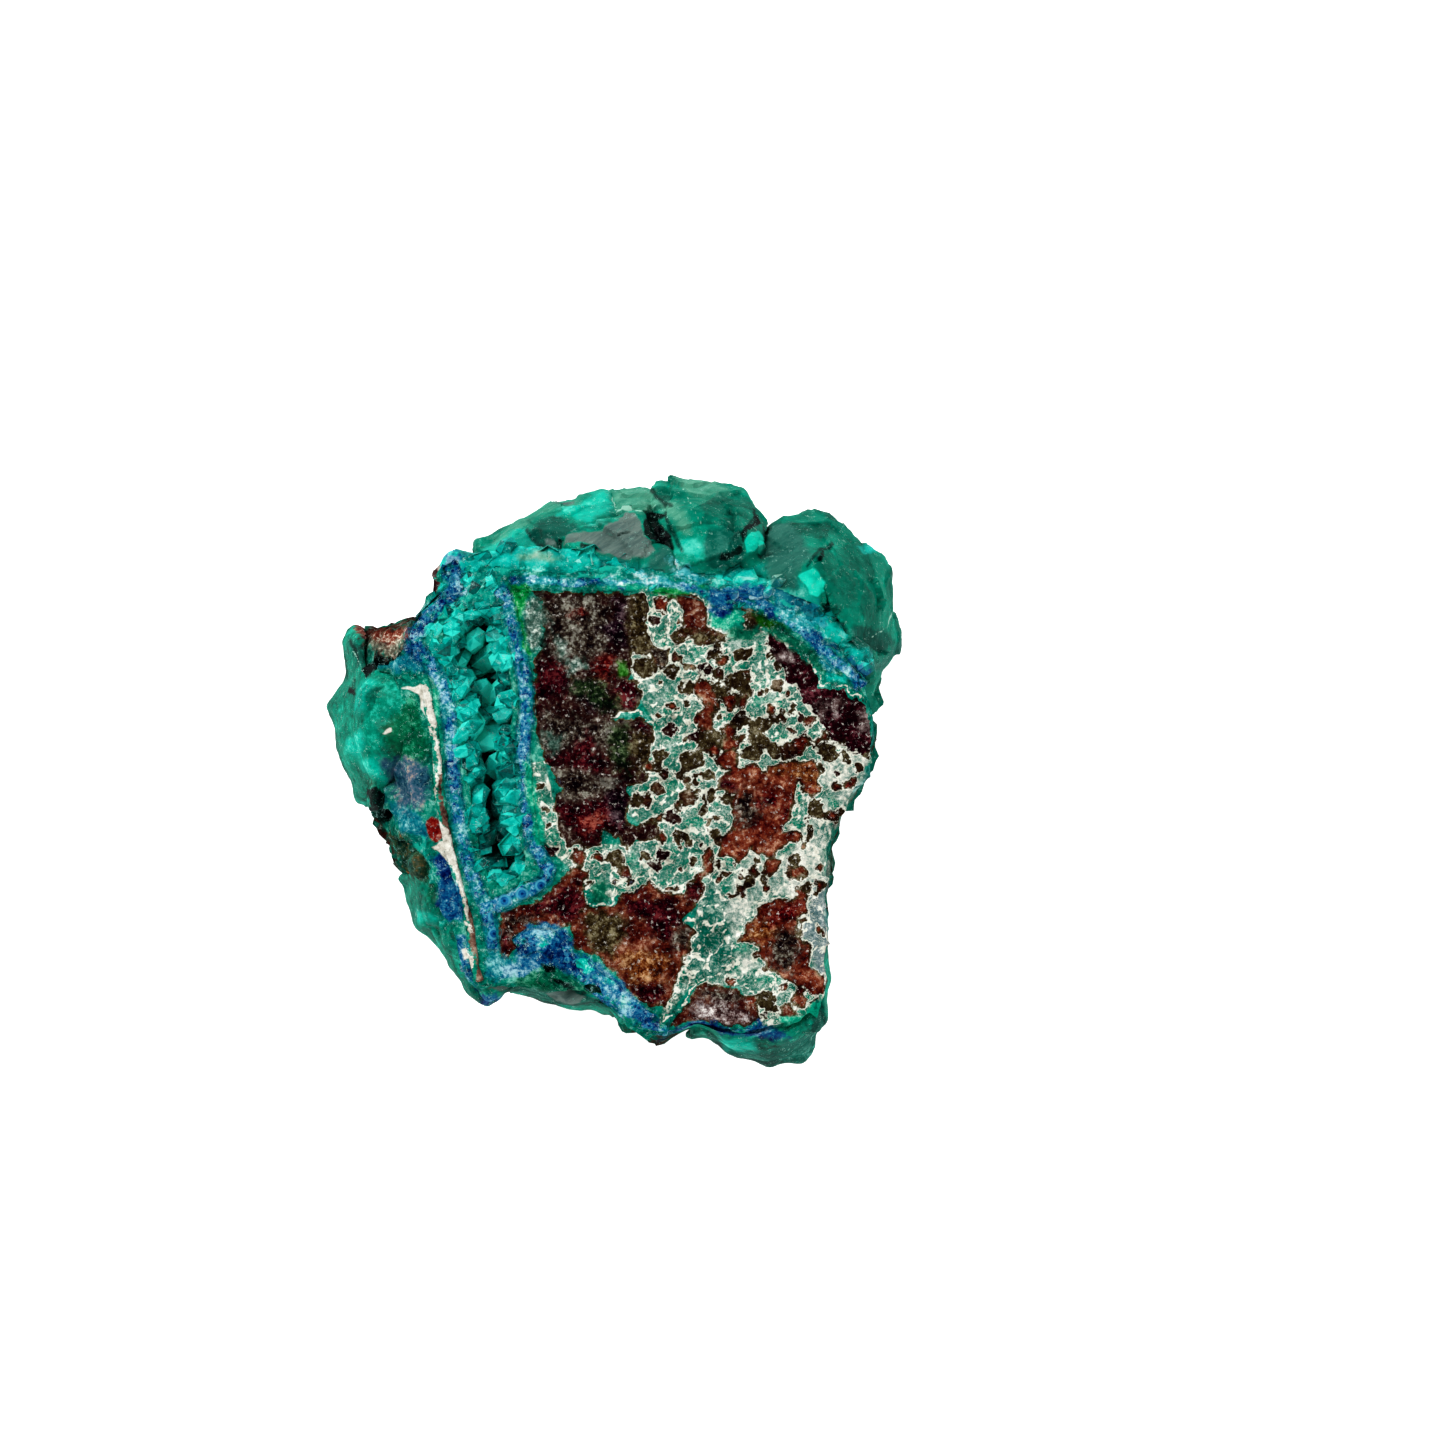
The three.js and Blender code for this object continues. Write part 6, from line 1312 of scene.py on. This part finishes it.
# Each mass of crystals: its node, the size of its faces, how far it is moved along the face, and the
# rounded lumps that weld it to the stone, as middle and half sizes.
for name, node, size, shift, welds in [
    ("Crest_crystals", "dioptase_crest", 0.22, (0, 0), []),
    ("Left_flank_crystals", "dioptase_left_flank", 0.2, (0, 0), [
        ((-20.6, -2.2, 20.6), (1.2, 1.4, 2.4)), ((-19.3, 6.1, 21.6), (3.2, 2.4, 2.6)),
        ((-18.9, 3.4, 21.6), (3.2, 3, 2.6)), ((-20.6, 4, 21), (2, 3.6, 2.6)),
        ((-20.2, 0.8, 20.6), (1.8, 2.2, 2.4)), ((-17.8, 4.6, 21.8), (2, 2.8, 2.3)),
    ]),
    ("Lower_flank_crystals", "dioptase_lower_flank", 0.2, (0.45, 0.3), [
        ((-15.6, -11.6, 20.8), (1.7, 2.4, 2.4)), ((-14.2, -14.6, 20.8), (1.7, 2.2, 2.4)),
        ((-16.8, -9.4, 20.2), (1.3, 1.8, 2)), ((-12.6, -17, 20.6), (1.5, 1.5, 2.4)),
        ((-17.2, -8.4, 20.4), (1.4, 1.8, 2.4)),
    ]),
    ("Foot_crystals", "dioptase_foot", 0.2, (0, 0), [
        ((10, -22.1, 21), (3, 1.2, 2.2)), ((13.6, -22, 21.2), (2.6, 1.4, 2.2)),
        ((16.4, -21, 21), (1.4, 1.6, 2.4)), ((6.4, -22, 20.6), (2, 0.8, 2)),
    ]),
    ("Foot_nook_crystals", "dioptase_foot_nook", 0.2, (0, 0.1), [
        ((-6.4, -18.2, 21), (2.6, 1.4, 2.2)), ((-3, -19.4, 20.8), (2.2, 1.2, 2)),
        ((-9, -17.2, 20.8), (1.6, 1.2, 2)), ((-0.6, -20.6, 20.4), (1.6, 0.8, 1.8)),
        ((-10, -18.3, 20.6), (2, 1.3, 2.4)), ((-5.2, -17.3, 21.2), (2.4, 0.9, 2)),
        ((-2.6, -18.5, 21.2), (1.8, 0.9, 2)), ((-0.2, -20.6, 20.8), (1.4, 1, 2)),
        ((0.2, -20.9, 21.2), (1, 0.8, 1.8)), ((-9.6, -18.7, 21), (1.6, 0.9, 2)),
    ]),
]:
    on_crest = node == "dioptase_crest"
    crystals = copy_of(name, node)
    for middle, half_sizes in welds:
        bpy.ops.object.select_all(action="DESELECT")
        bpy.ops.mesh.primitive_ico_sphere_add(subdivisions=2, radius=1, location=Vector(middle) * MM)
        weld = bpy.context.active_object
        weld.scale = Vector(half_sizes) * MM
        crystals.select_set(True)
        bpy.context.view_layer.objects.active = crystals
        bpy.ops.object.join()
    remeshed(crystals, size)
    if not on_crest:
        softened(crystals, 8)
    points, facing = places(crystals), facings(crystals)
    spots = warped(points, 1.5, 0.16)
    for kind in ["dim", "glass", "lit", "seablue", "speckled", "ochre", "turquoise", "cyan", "blue", "navy",
                 "stained", "shell", "facet_sheen", "sage", "grey", "gem", "rust", "dark", "fibres", "white"]:
        keep(crystals, kind, from_any(spots, PATCHES[kind]))
    keep(crystals, "small", np.full(len(points), 0.1 if on_crest else 0.8))
    # Where the painted crease shade and the painted edge highlights lie.
    keep(crystals, "crease_shade", from_lines(spots, SHADED_CREASES))
    keep(crystals, "edge_highlight", from_lines(spots, EDGE_HIGHLIGHTS))
    # The facets' random tones become painted facet light and shade in the material.
    raised, tones = facets(points, 3.4 if on_crest else 2.8, 3.0)
    keep(crystals, "tone", tones)
    steps = 0.12 * lumps(points, 2.6, 2) + 0.06 * facets(points, 1.1, 6.0)[0]
    steps += (0.15 if on_crest else 0.06) * raised
    grooves = 0.03 * lumps(points * (1, 3.5, 1), 1.0, 2)
    fuller = (0.2, 0.15, 0.2) if on_crest else (-0.1, -0.1, 0.1)
    points += facing * (np.clip(steps, -0.5, 0.5) + grooves)[:, None] + facing * fuller + (*shift, 0)
    move(crystals, pulled(points))
    if not on_crest:
        softened(crystals, 3)
    pick(crystals)
    bpy.ops.object.shade_smooth_by_angle(angle=SHARP)
    crystals.data.materials.append(dioptase)
    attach(crystals, "root")
    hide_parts(node)

# ---------------------------------------------------------------------------------------------------
# The crystals in the hollow. Small turquoise-green dioptase prisms with three-faced caps, which grew
# from the walls of the open vein towards its middle and left a dark gap there.


def prism():
    """One crystal a unit across, as a list of points and a list of faces. Its foot is at the origin."""
    bpy.ops.object.select_all(action="DESELECT")
    bpy.ops.mesh.primitive_cylinder_add(vertices=6, radius=1, depth=2, location=(0, 0, 1))
    made = bpy.context.active_object
    bpy.ops.object.mode_set(mode="EDIT")
    bpy.ops.mesh.select_mode(type="FACE")
    bpy.ops.mesh.select_all(action="DESELECT")
    bpy.ops.object.mode_set(mode="OBJECT")
    for face in made.data.polygons:
        face.select = face.normal.z > 0.9
    bpy.ops.object.mode_set(mode="EDIT")
    bpy.ops.mesh.poke(offset=0.75)
    bpy.ops.mesh.select_mode(type="VERT")
    bpy.ops.mesh.select_all(action="DESELECT")
    bpy.ops.object.mode_set(mode="OBJECT")
    for point in made.data.vertices:
        turn = math.degrees(math.atan2(point.co.x, point.co.y)) % 120
        point.select = 1.9 < point.co.z < 2.1 and min(turn, 120 - turn) < 5
    bpy.ops.object.mode_set(mode="EDIT")
    bpy.ops.transform.translate(value=(0, 0, -0.5))
    bpy.ops.mesh.select_all(action="SELECT")
    bpy.ops.mesh.bevel(offset=0.02, segments=1, affect="EDGES")
    bpy.ops.object.mode_set(mode="OBJECT")
    corners = np.array([tuple(point.co) for point in made.data.vertices])
    faces = [tuple(face.vertices) for face in made.data.polygons]
    bpy.data.objects.remove(made)
    return corners, faces


def druse(name, growth, cut=math.inf):
    """Many prisms as one piece, each with a foot, axis, radius, length, turn and tone.

    cut is the height at which the face cuts them."""
    corners, faces = prism()
    all_points, all_faces, tones = [], [], []
    dice = random.Random(len(growth))
    for foot, axis, radius, length, turn, tone in growth:
        lean = Vector((0, 0, 1)).rotation_difference(Vector(axis)) @ Quaternion((0, 0, 1), turn)
        shaped = corners * (radius * dice.uniform(0.7, 1.6), radius * dice.uniform(0.6, 1.0), radius)
        shaped[:, 2] += np.where(corners[:, 2] > 1, length - 2 * radius, 0)
        start, level = len(all_points), cut + dice.uniform(-0.15, 0.15)
        tilt, slant = dice.uniform(-0.3, 0.3), dice.uniform(-0.3, 0.3)
        grown = [Vector(foot) + lean @ Vector(corner) for corner in shaped]
        for spot in grown:
            top = level + tilt * (spot.x - foot[0]) + slant * (spot.y - foot[1])
            all_points.append(Vector((spot.x, spot.y, min(spot.z, top))))
        all_faces += [tuple(start + i for i in face) for face in faces]
        # Each face gets its own tone, half its crystal's and half random: painted facet light and shade.
        tones += [0.5 * tone + 0.5 * dice.random() for face in faces]
    mesh = bpy.data.meshes.new(name)
    mesh.from_pydata([tuple(point * MM) for point in all_points], [], all_faces)
    piece = bpy.data.objects.new(name, mesh)
    bpy.context.scene.collection.objects.link(piece)
    layer = mesh.attributes.new("tone", "FLOAT", "FACE")
    layer.data.foreach_set("value", tones)
    return piece


# The largest crystals: place, radius and how bright. The brightness is painted light: it makes the lit
# crystals paler in colour, and also sets the brighter ones higher.
LARGE = [
    (-12, 11.2, 1.1, 1.5), (-15.2, 11, 0.9, 1.4), (-11.9, 4.3, 0.8, 1.4), (-11, 3, 1.1, 1.6), (-9.8, 0.6, 1.2, 1.4),
    (-9.2, -4.6, 1, 1.4), (-12.8, -3.6, 0.8, 1.3), (-10.2, 12.1, 0.7, 1.3), (-9, 2.2, 0.8, 1.4), (-13.4, 8.6, 0.6, 1.5),
    (-8.6, -8, 0.7, 1.4), (-10.6, -9.6, 0.7, 1.3), (-9.6, 7.5, 1.2, 1), (-12.5, -1.5, 1, 0.9), (-13.2, 9.8, 1, 1),
    (-13, 12.5, 1.2, 1), (-9.8, 10.3, 1.2, 0.9), (-11.6, 7, 0.9, 0.9), (-10.2, 5, 0.8, 1), (-9.2, -1.5, 0.8, 0.9),
    (-10.8, -4.8, 0.8, 1), (-11, -7.2, 0.8, 0.2), (-9.4, -6.2, 0.8, 0.3), (-12.4, 5.6, 0.9, 0.8), (-9, 4, 0.7, 0.7),
    (-13, 14.4, 1.1, 0.9), (-11, 14.2, 1, 0.7), (-13.6, 2.4, 0.7, 1),
]
# The gaps that stay open between the crystals: middle and half sizes.
GAPS = [
    (-11.6, 8.7, 0.7, 0.5), (-11, 6.2, 0.7, 0.4), (-12.7, 2.2, 0.4, 1.6), (-11.3, -1.2, 0.5, 1.5),
    (-10, -6.8, 0.6, 1), (-11.4, -3.9, 0.4, 0.8), (-12.2, 13.2, 0.5, 0.3),
]


def in_gap(x, y):
    """Whether a place lies in one of the gaps."""
    return any(abs(x - gap_x) < half_x and abs(y - gap_y) < half_y for gap_x, gap_y, half_x, half_y in GAPS)


dice = random.Random(11)
growth = []
for x, y, radius, bright in LARGE:
    lean = Vector((dice.uniform(-1, 1), dice.uniform(-1, 1), 1))
    foot = Vector((x, y, 19.8 + min(bright, 1.3))) - lean * 0.9
    growth.append((foot, lean, radius, 2.2 * radius + 0.8, dice.random(), bright))
ring = HOLLOW + HOLLOW[:1]
for level, low, high in [(17.6, 0.8, 1.2), (19, 0.8, 1.4), (20.4, 0.8, 1.5), (21.6, 0.7, 1.4), (22.6, 0.5, 1.1)]:
    for (ax, ay), (bx, by) in zip(ring, ring[1:]):
        length = math.hypot(bx - ax, by - ay)
        inward = Vector(((by - ay) / length, -(bx - ax) / length, 0))
        for _ in range(max(1, round(length / 1.6))):
            share = dice.random()
            wall = Vector((ax + (bx - ax) * share, ay + (by - ay) * share, level + dice.uniform(-0.4, 0.4)))
            lean = inward + Vector((0, dice.uniform(-0.8, 0.8), dice.uniform(0.1, 1.4)))
            radius = dice.uniform(low, high)
            tip = wall + inward * radius * 1.2
            if in_gap(tip.x, tip.y):
                continue
            # Crystals lower in the hollow get a lower tone: painted shade with depth.
            growth.append((wall - inward * 0.5, lean, radius, radius * dice.uniform(1.9, 2.5), dice.uniform(0, 1),
                           dice.uniform(-0.1, 0.9) - 0.12 * (22.6 - level)))
for y in np.arange(-7.5, 13, 1.3):
    lean = Vector((dice.uniform(-0.6, 0.6), dice.uniform(-0.6, 0.6), 1))
    foot = Vector((-10 - 0.12 * (y + 7.5) + dice.uniform(-1.1, 1.1), y, 17.5))
    if in_gap(foot.x, foot.y):
        continue
    # The floor crystals get a lower tone: painted shade at the bottom of the hollow.
    growth.append((foot, lean, dice.uniform(0.6, 1.0), dice.uniform(2, 3.6), dice.random(), dice.uniform(-0.3, 0.7)))
hollow_crystals = druse("Hollow_crystals", growth)

# The kinds of patch that show in the hollow and in the seams.
KINDS_IN_SEAM = ["dim", "facet_sheen", "sage", "seablue", "cyan", "blue", "gem", "sliver", "fibres"]
clear, tree, shader, place = new_material("Clear_turquoise_crystal")
tone = read(tree, "tone")
speckle = use(tree, grain, Place=place, Size=1.0, Contrast=0.5)["Value"]
# The tone makes some faces lighter and others darker: painted facet light and shade.
speckle = sum_of(tree, "ADD", speckle, sum_of(tree, "MULTIPLY", sum_of(tree, "SUBTRACT", tone, 0.5), 1.1))
wobble = wobbly(tree, place, 0.7)
green = ramp(tree, speckle, [(0, 44, 46), (0, 118, 110), (0, 190, 176), (64, 244, 226)])
# Among these, dim is painted shade, and the sheen and sage patches are painted reflections.
green = laid(tree, green, speckle, wobble, *KINDS_IN_SEAM[:-1])
hairs = use(tree, veinlets, Place=place, Size=0.8, Width=0.01, Level=0.52)["Mask"]
green = over(tree, sum_of(tree, "MULTIPLY", hairs, 0.5), green, paint(110, 226, 216))
# Painted glints: small white sparkles on the crystals.
specks_and_glints = use(tree, flecks, Place=place, Size=0.08, Level=0.7, Drift=0.14)["Mask"]
green = over(tree, sum_of(tree, "MULTIPLY", specks_and_glints, 0.7), green, paint(190, 238, 230))
green = laid(tree, green, speckle, wobble, "fibres")
tree.links.new(green, shader.inputs["Base Color"])
shader.inputs["Roughness"].default_value = 0.1
shader.inputs["IOR"].default_value = 1.66
shader.inputs["Specular IOR Level"].default_value = 0.0
shader.inputs["Transmission Weight"].default_value = 0.1
relief = add(tree, "TexNoise", {"Vector": place, "Scale": 2.5, "Detail": 4.0}).outputs["Fac"]
bumped(tree, shader, relief, 0.12, 0.4)
depth = add(tree, "VolumeAbsorption")
depth.inputs["Color"].default_value = (0.05, 0.85, 0.72, 1.0)
depth.inputs["Density"].default_value = 60.0
tree.links.new(depth.outputs[0], tree.nodes["Material Output"].inputs["Volume"])
for kind in KINDS_IN_SEAM:
    keep(hollow_crystals, kind, from_any(places(hollow_crystals)[:, :2], PATCHES[kind]))
hollow_crystals.data.materials.append(clear)
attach(hollow_crystals, "root")
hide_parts("vug_crystal_crust")

# ---------------------------------------------------------------------------------------------------
# The druse. A skin of the same small crystals along the edge of the face, where the large crystals and
# the stone meet. It fills the seams, and stands a little above the face.

# The seams: route, half width, height of the crystals' feet, least and greatest radius, how many.
SEAMS = [
    ([(-13.2, 17.4), (-11.6, 17.6), (-8.2, 17.8), (-4.8, 17.6), (-1.4, 17.4), (2, 17), (5.4, 16.5), (8.8, 15.8),
      (10.9, 15.5), (13.9, 14.6), (16.4, 12.9), (19, 10.9), (21.1, 8.9)], 1.0, 22.4, 0.6, 1.4, 50),
    ([(-13.8, 16.4), (-12, 16.6), (-10.4, 16.4)], 1.2, 22.9, 0.8, 1.5, 14),
    ([(-16, 11.6), (-15, 13.4), (-13.6, 14.8)], 0.9, 22.9, 0.5, 0.9, 12),
    (HOLLOW + HOLLOW[:1], 0.35, 22.8, 0.6, 1.2, 70),
]


def filling(name, lumps_along):
    """Rounded lumps along a seam, flowed together into one smooth piece."""
    parts = []
    for (x, y, z), half_sizes in lumps_along:
        bpy.ops.object.select_all(action="DESELECT")
        bpy.ops.mesh.primitive_ico_sphere_add(subdivisions=3, radius=1, location=Vector((x, y, z)) * MM)
        lump = bpy.context.active_object
        lump.scale = Vector(half_sizes) * MM
        parts.append(lump)
    for lump in parts:
        lump.select_set(True)
    bpy.ops.object.join()
    piece = bpy.context.active_object
    piece.name = name
    bpy.ops.object.transform_apply(location=True, rotation=True, scale=True)
    return piece


beds = []
for route, half_width, height, low, high, count in SEAMS[:2]:
    for (ax, ay), (bx, by) in zip(route, route[1:]):
        for share in (0, 0.33, 0.67):
            x, y = ax + (bx - ax) * share, ay + (by - ay) * share
            beds.append(((x, y + 0.25, 22.5), (1.5, 1.25, 1.5)))
seam_filling = filling("Seam_filling", beds)
remeshed(seam_filling, 0.2)
points, facing = places(seam_filling), facings(seam_filling)
raised, tones = facets(points, 1.5, 5.0)
# Each facet's tone, kept to the middle range, is painted facet light and shade.
keep(seam_filling, "tone", 0.3 + 0.4 * tones)
for kind in KINDS_IN_SEAM:
    keep(seam_filling, kind, from_any(warped(points, 1.5, 0.16), PATCHES[kind]))
points += facing * (0.12 * np.clip(raised, -1, 1) + 0.06 * lumps(points, 0.8, 2))[:, None]
points[:, 2] = np.minimum(points[:, 2], FACE + 0.04 + 0.06 * lumps(points, 1.2, 2) + 0.1 * raised)
move(seam_filling, pulled(points))
pick(seam_filling)
bpy.ops.object.shade_smooth_by_angle(angle=SHARP)
seam_filling.data.materials.append(clear)
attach(seam_filling, "root")

growth = []
for route, half_width, height, low, high, count in SEAMS:
    legs = [math.dist(start, end) for start, end in zip(route, route[1:])]
    for _ in range(count):
        along = dice.uniform(0, sum(legs))
        leg = 0
        while along > legs[leg] and leg < len(legs) - 1:
            along -= legs[leg]
            leg += 1
        (ax, ay), (bx, by) = route[leg], route[leg + 1]
        share, off = along / legs[leg], dice.uniform(-half_width, half_width)
        across = Vector((-(by - ay), bx - ax, 0)).normalized()
        foot = Vector((ax + (bx - ax) * share, ay + (by - ay) * share, height)) + across * off
        lean = Vector((dice.uniform(-0.6, 0.6), dice.uniform(-0.6, 0.6), 1.0))
        radius = dice.uniform(low, high)
        growth.append((foot, lean, radius, dice.uniform(1.7, 2.3), dice.random(), dice.uniform(0.25, 1)))
seam_crystals = druse("Seam_crystals", growth, FACE + 0.15)
for kind in KINDS_IN_SEAM:
    keep(seam_crystals, kind, from_any(places(seam_crystals)[:, :2], PATCHES[kind]))
seam_crystals.data.materials.append(clear)
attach(seam_crystals, "root")

# ---------------------------------------------------------------------------------------------------
# The pale table that the stone lies on, the soft lights, and the camera straight above.

bpy.ops.object.select_all(action="DESELECT")
bpy.ops.mesh.primitive_plane_add(size=3, location=(0, 0, -0.0002))
table = bpy.context.active_object
table.name = "Table"
paper, _, shader, _ = new_material("Paper")
shader.inputs["Base Color"].default_value = (0.93, 0.93, 0.93, 1)
shader.inputs["Roughness"].default_value = 0.9
shader.inputs["Emission Color"].default_value = (1, 1, 1, 1)
shader.inputs["Emission Strength"].default_value = 0.7
table.data.materials.append(paper)

for name, place, size, power in [
    ("Key", (-0.28, 0.3, 0.42), 0.4, 2.6),
    ("Fill", (0.4, -0.05, 0.4), 0.35, 0.95),
    ("Low", (-0.05, -0.45, 0.3), 0.35, 0.65),
]:
    bpy.ops.object.light_add(type="AREA", location=place)
    lamp = bpy.context.active_object
    lamp.name = name
    lamp.data.size = size
    lamp.data.energy = power
    lamp.rotation_euler = (Vector((0, 0, 0.012)) - Vector(place)).to_track_quat("-Z", "Y").to_euler()

world = bpy.data.worlds.new("Studio")
world.use_nodes = True
world.node_tree.nodes["Background"].inputs["Color"].default_value = (1, 1, 1, 1)
world.node_tree.nodes["Background"].inputs["Strength"].default_value = 0.14
bpy.context.scene.world = world
bpy.context.scene.view_settings.view_transform = "Standard"
bpy.context.scene.view_settings.look = "Medium High Contrast"

VIEW_MIDDLE = (0.009, 0.00424)  # metres, a little to the right of the stone's middle and above it
VIEW_WIDTH = 122.67  # millimetres, at the height of the face
LENS, SENSOR = 250.0, 36.0
height = FACE + LENS * VIEW_WIDTH / SENSOR
bpy.ops.object.camera_add(location=(*VIEW_MIDDLE, height * MM), rotation=(0, 0, 0))
camera = bpy.context.active_object
camera.data.lens = LENS
camera.data.sensor_width = SENSOR
camera.data.clip_end = 10
bpy.context.scene.camera = camera
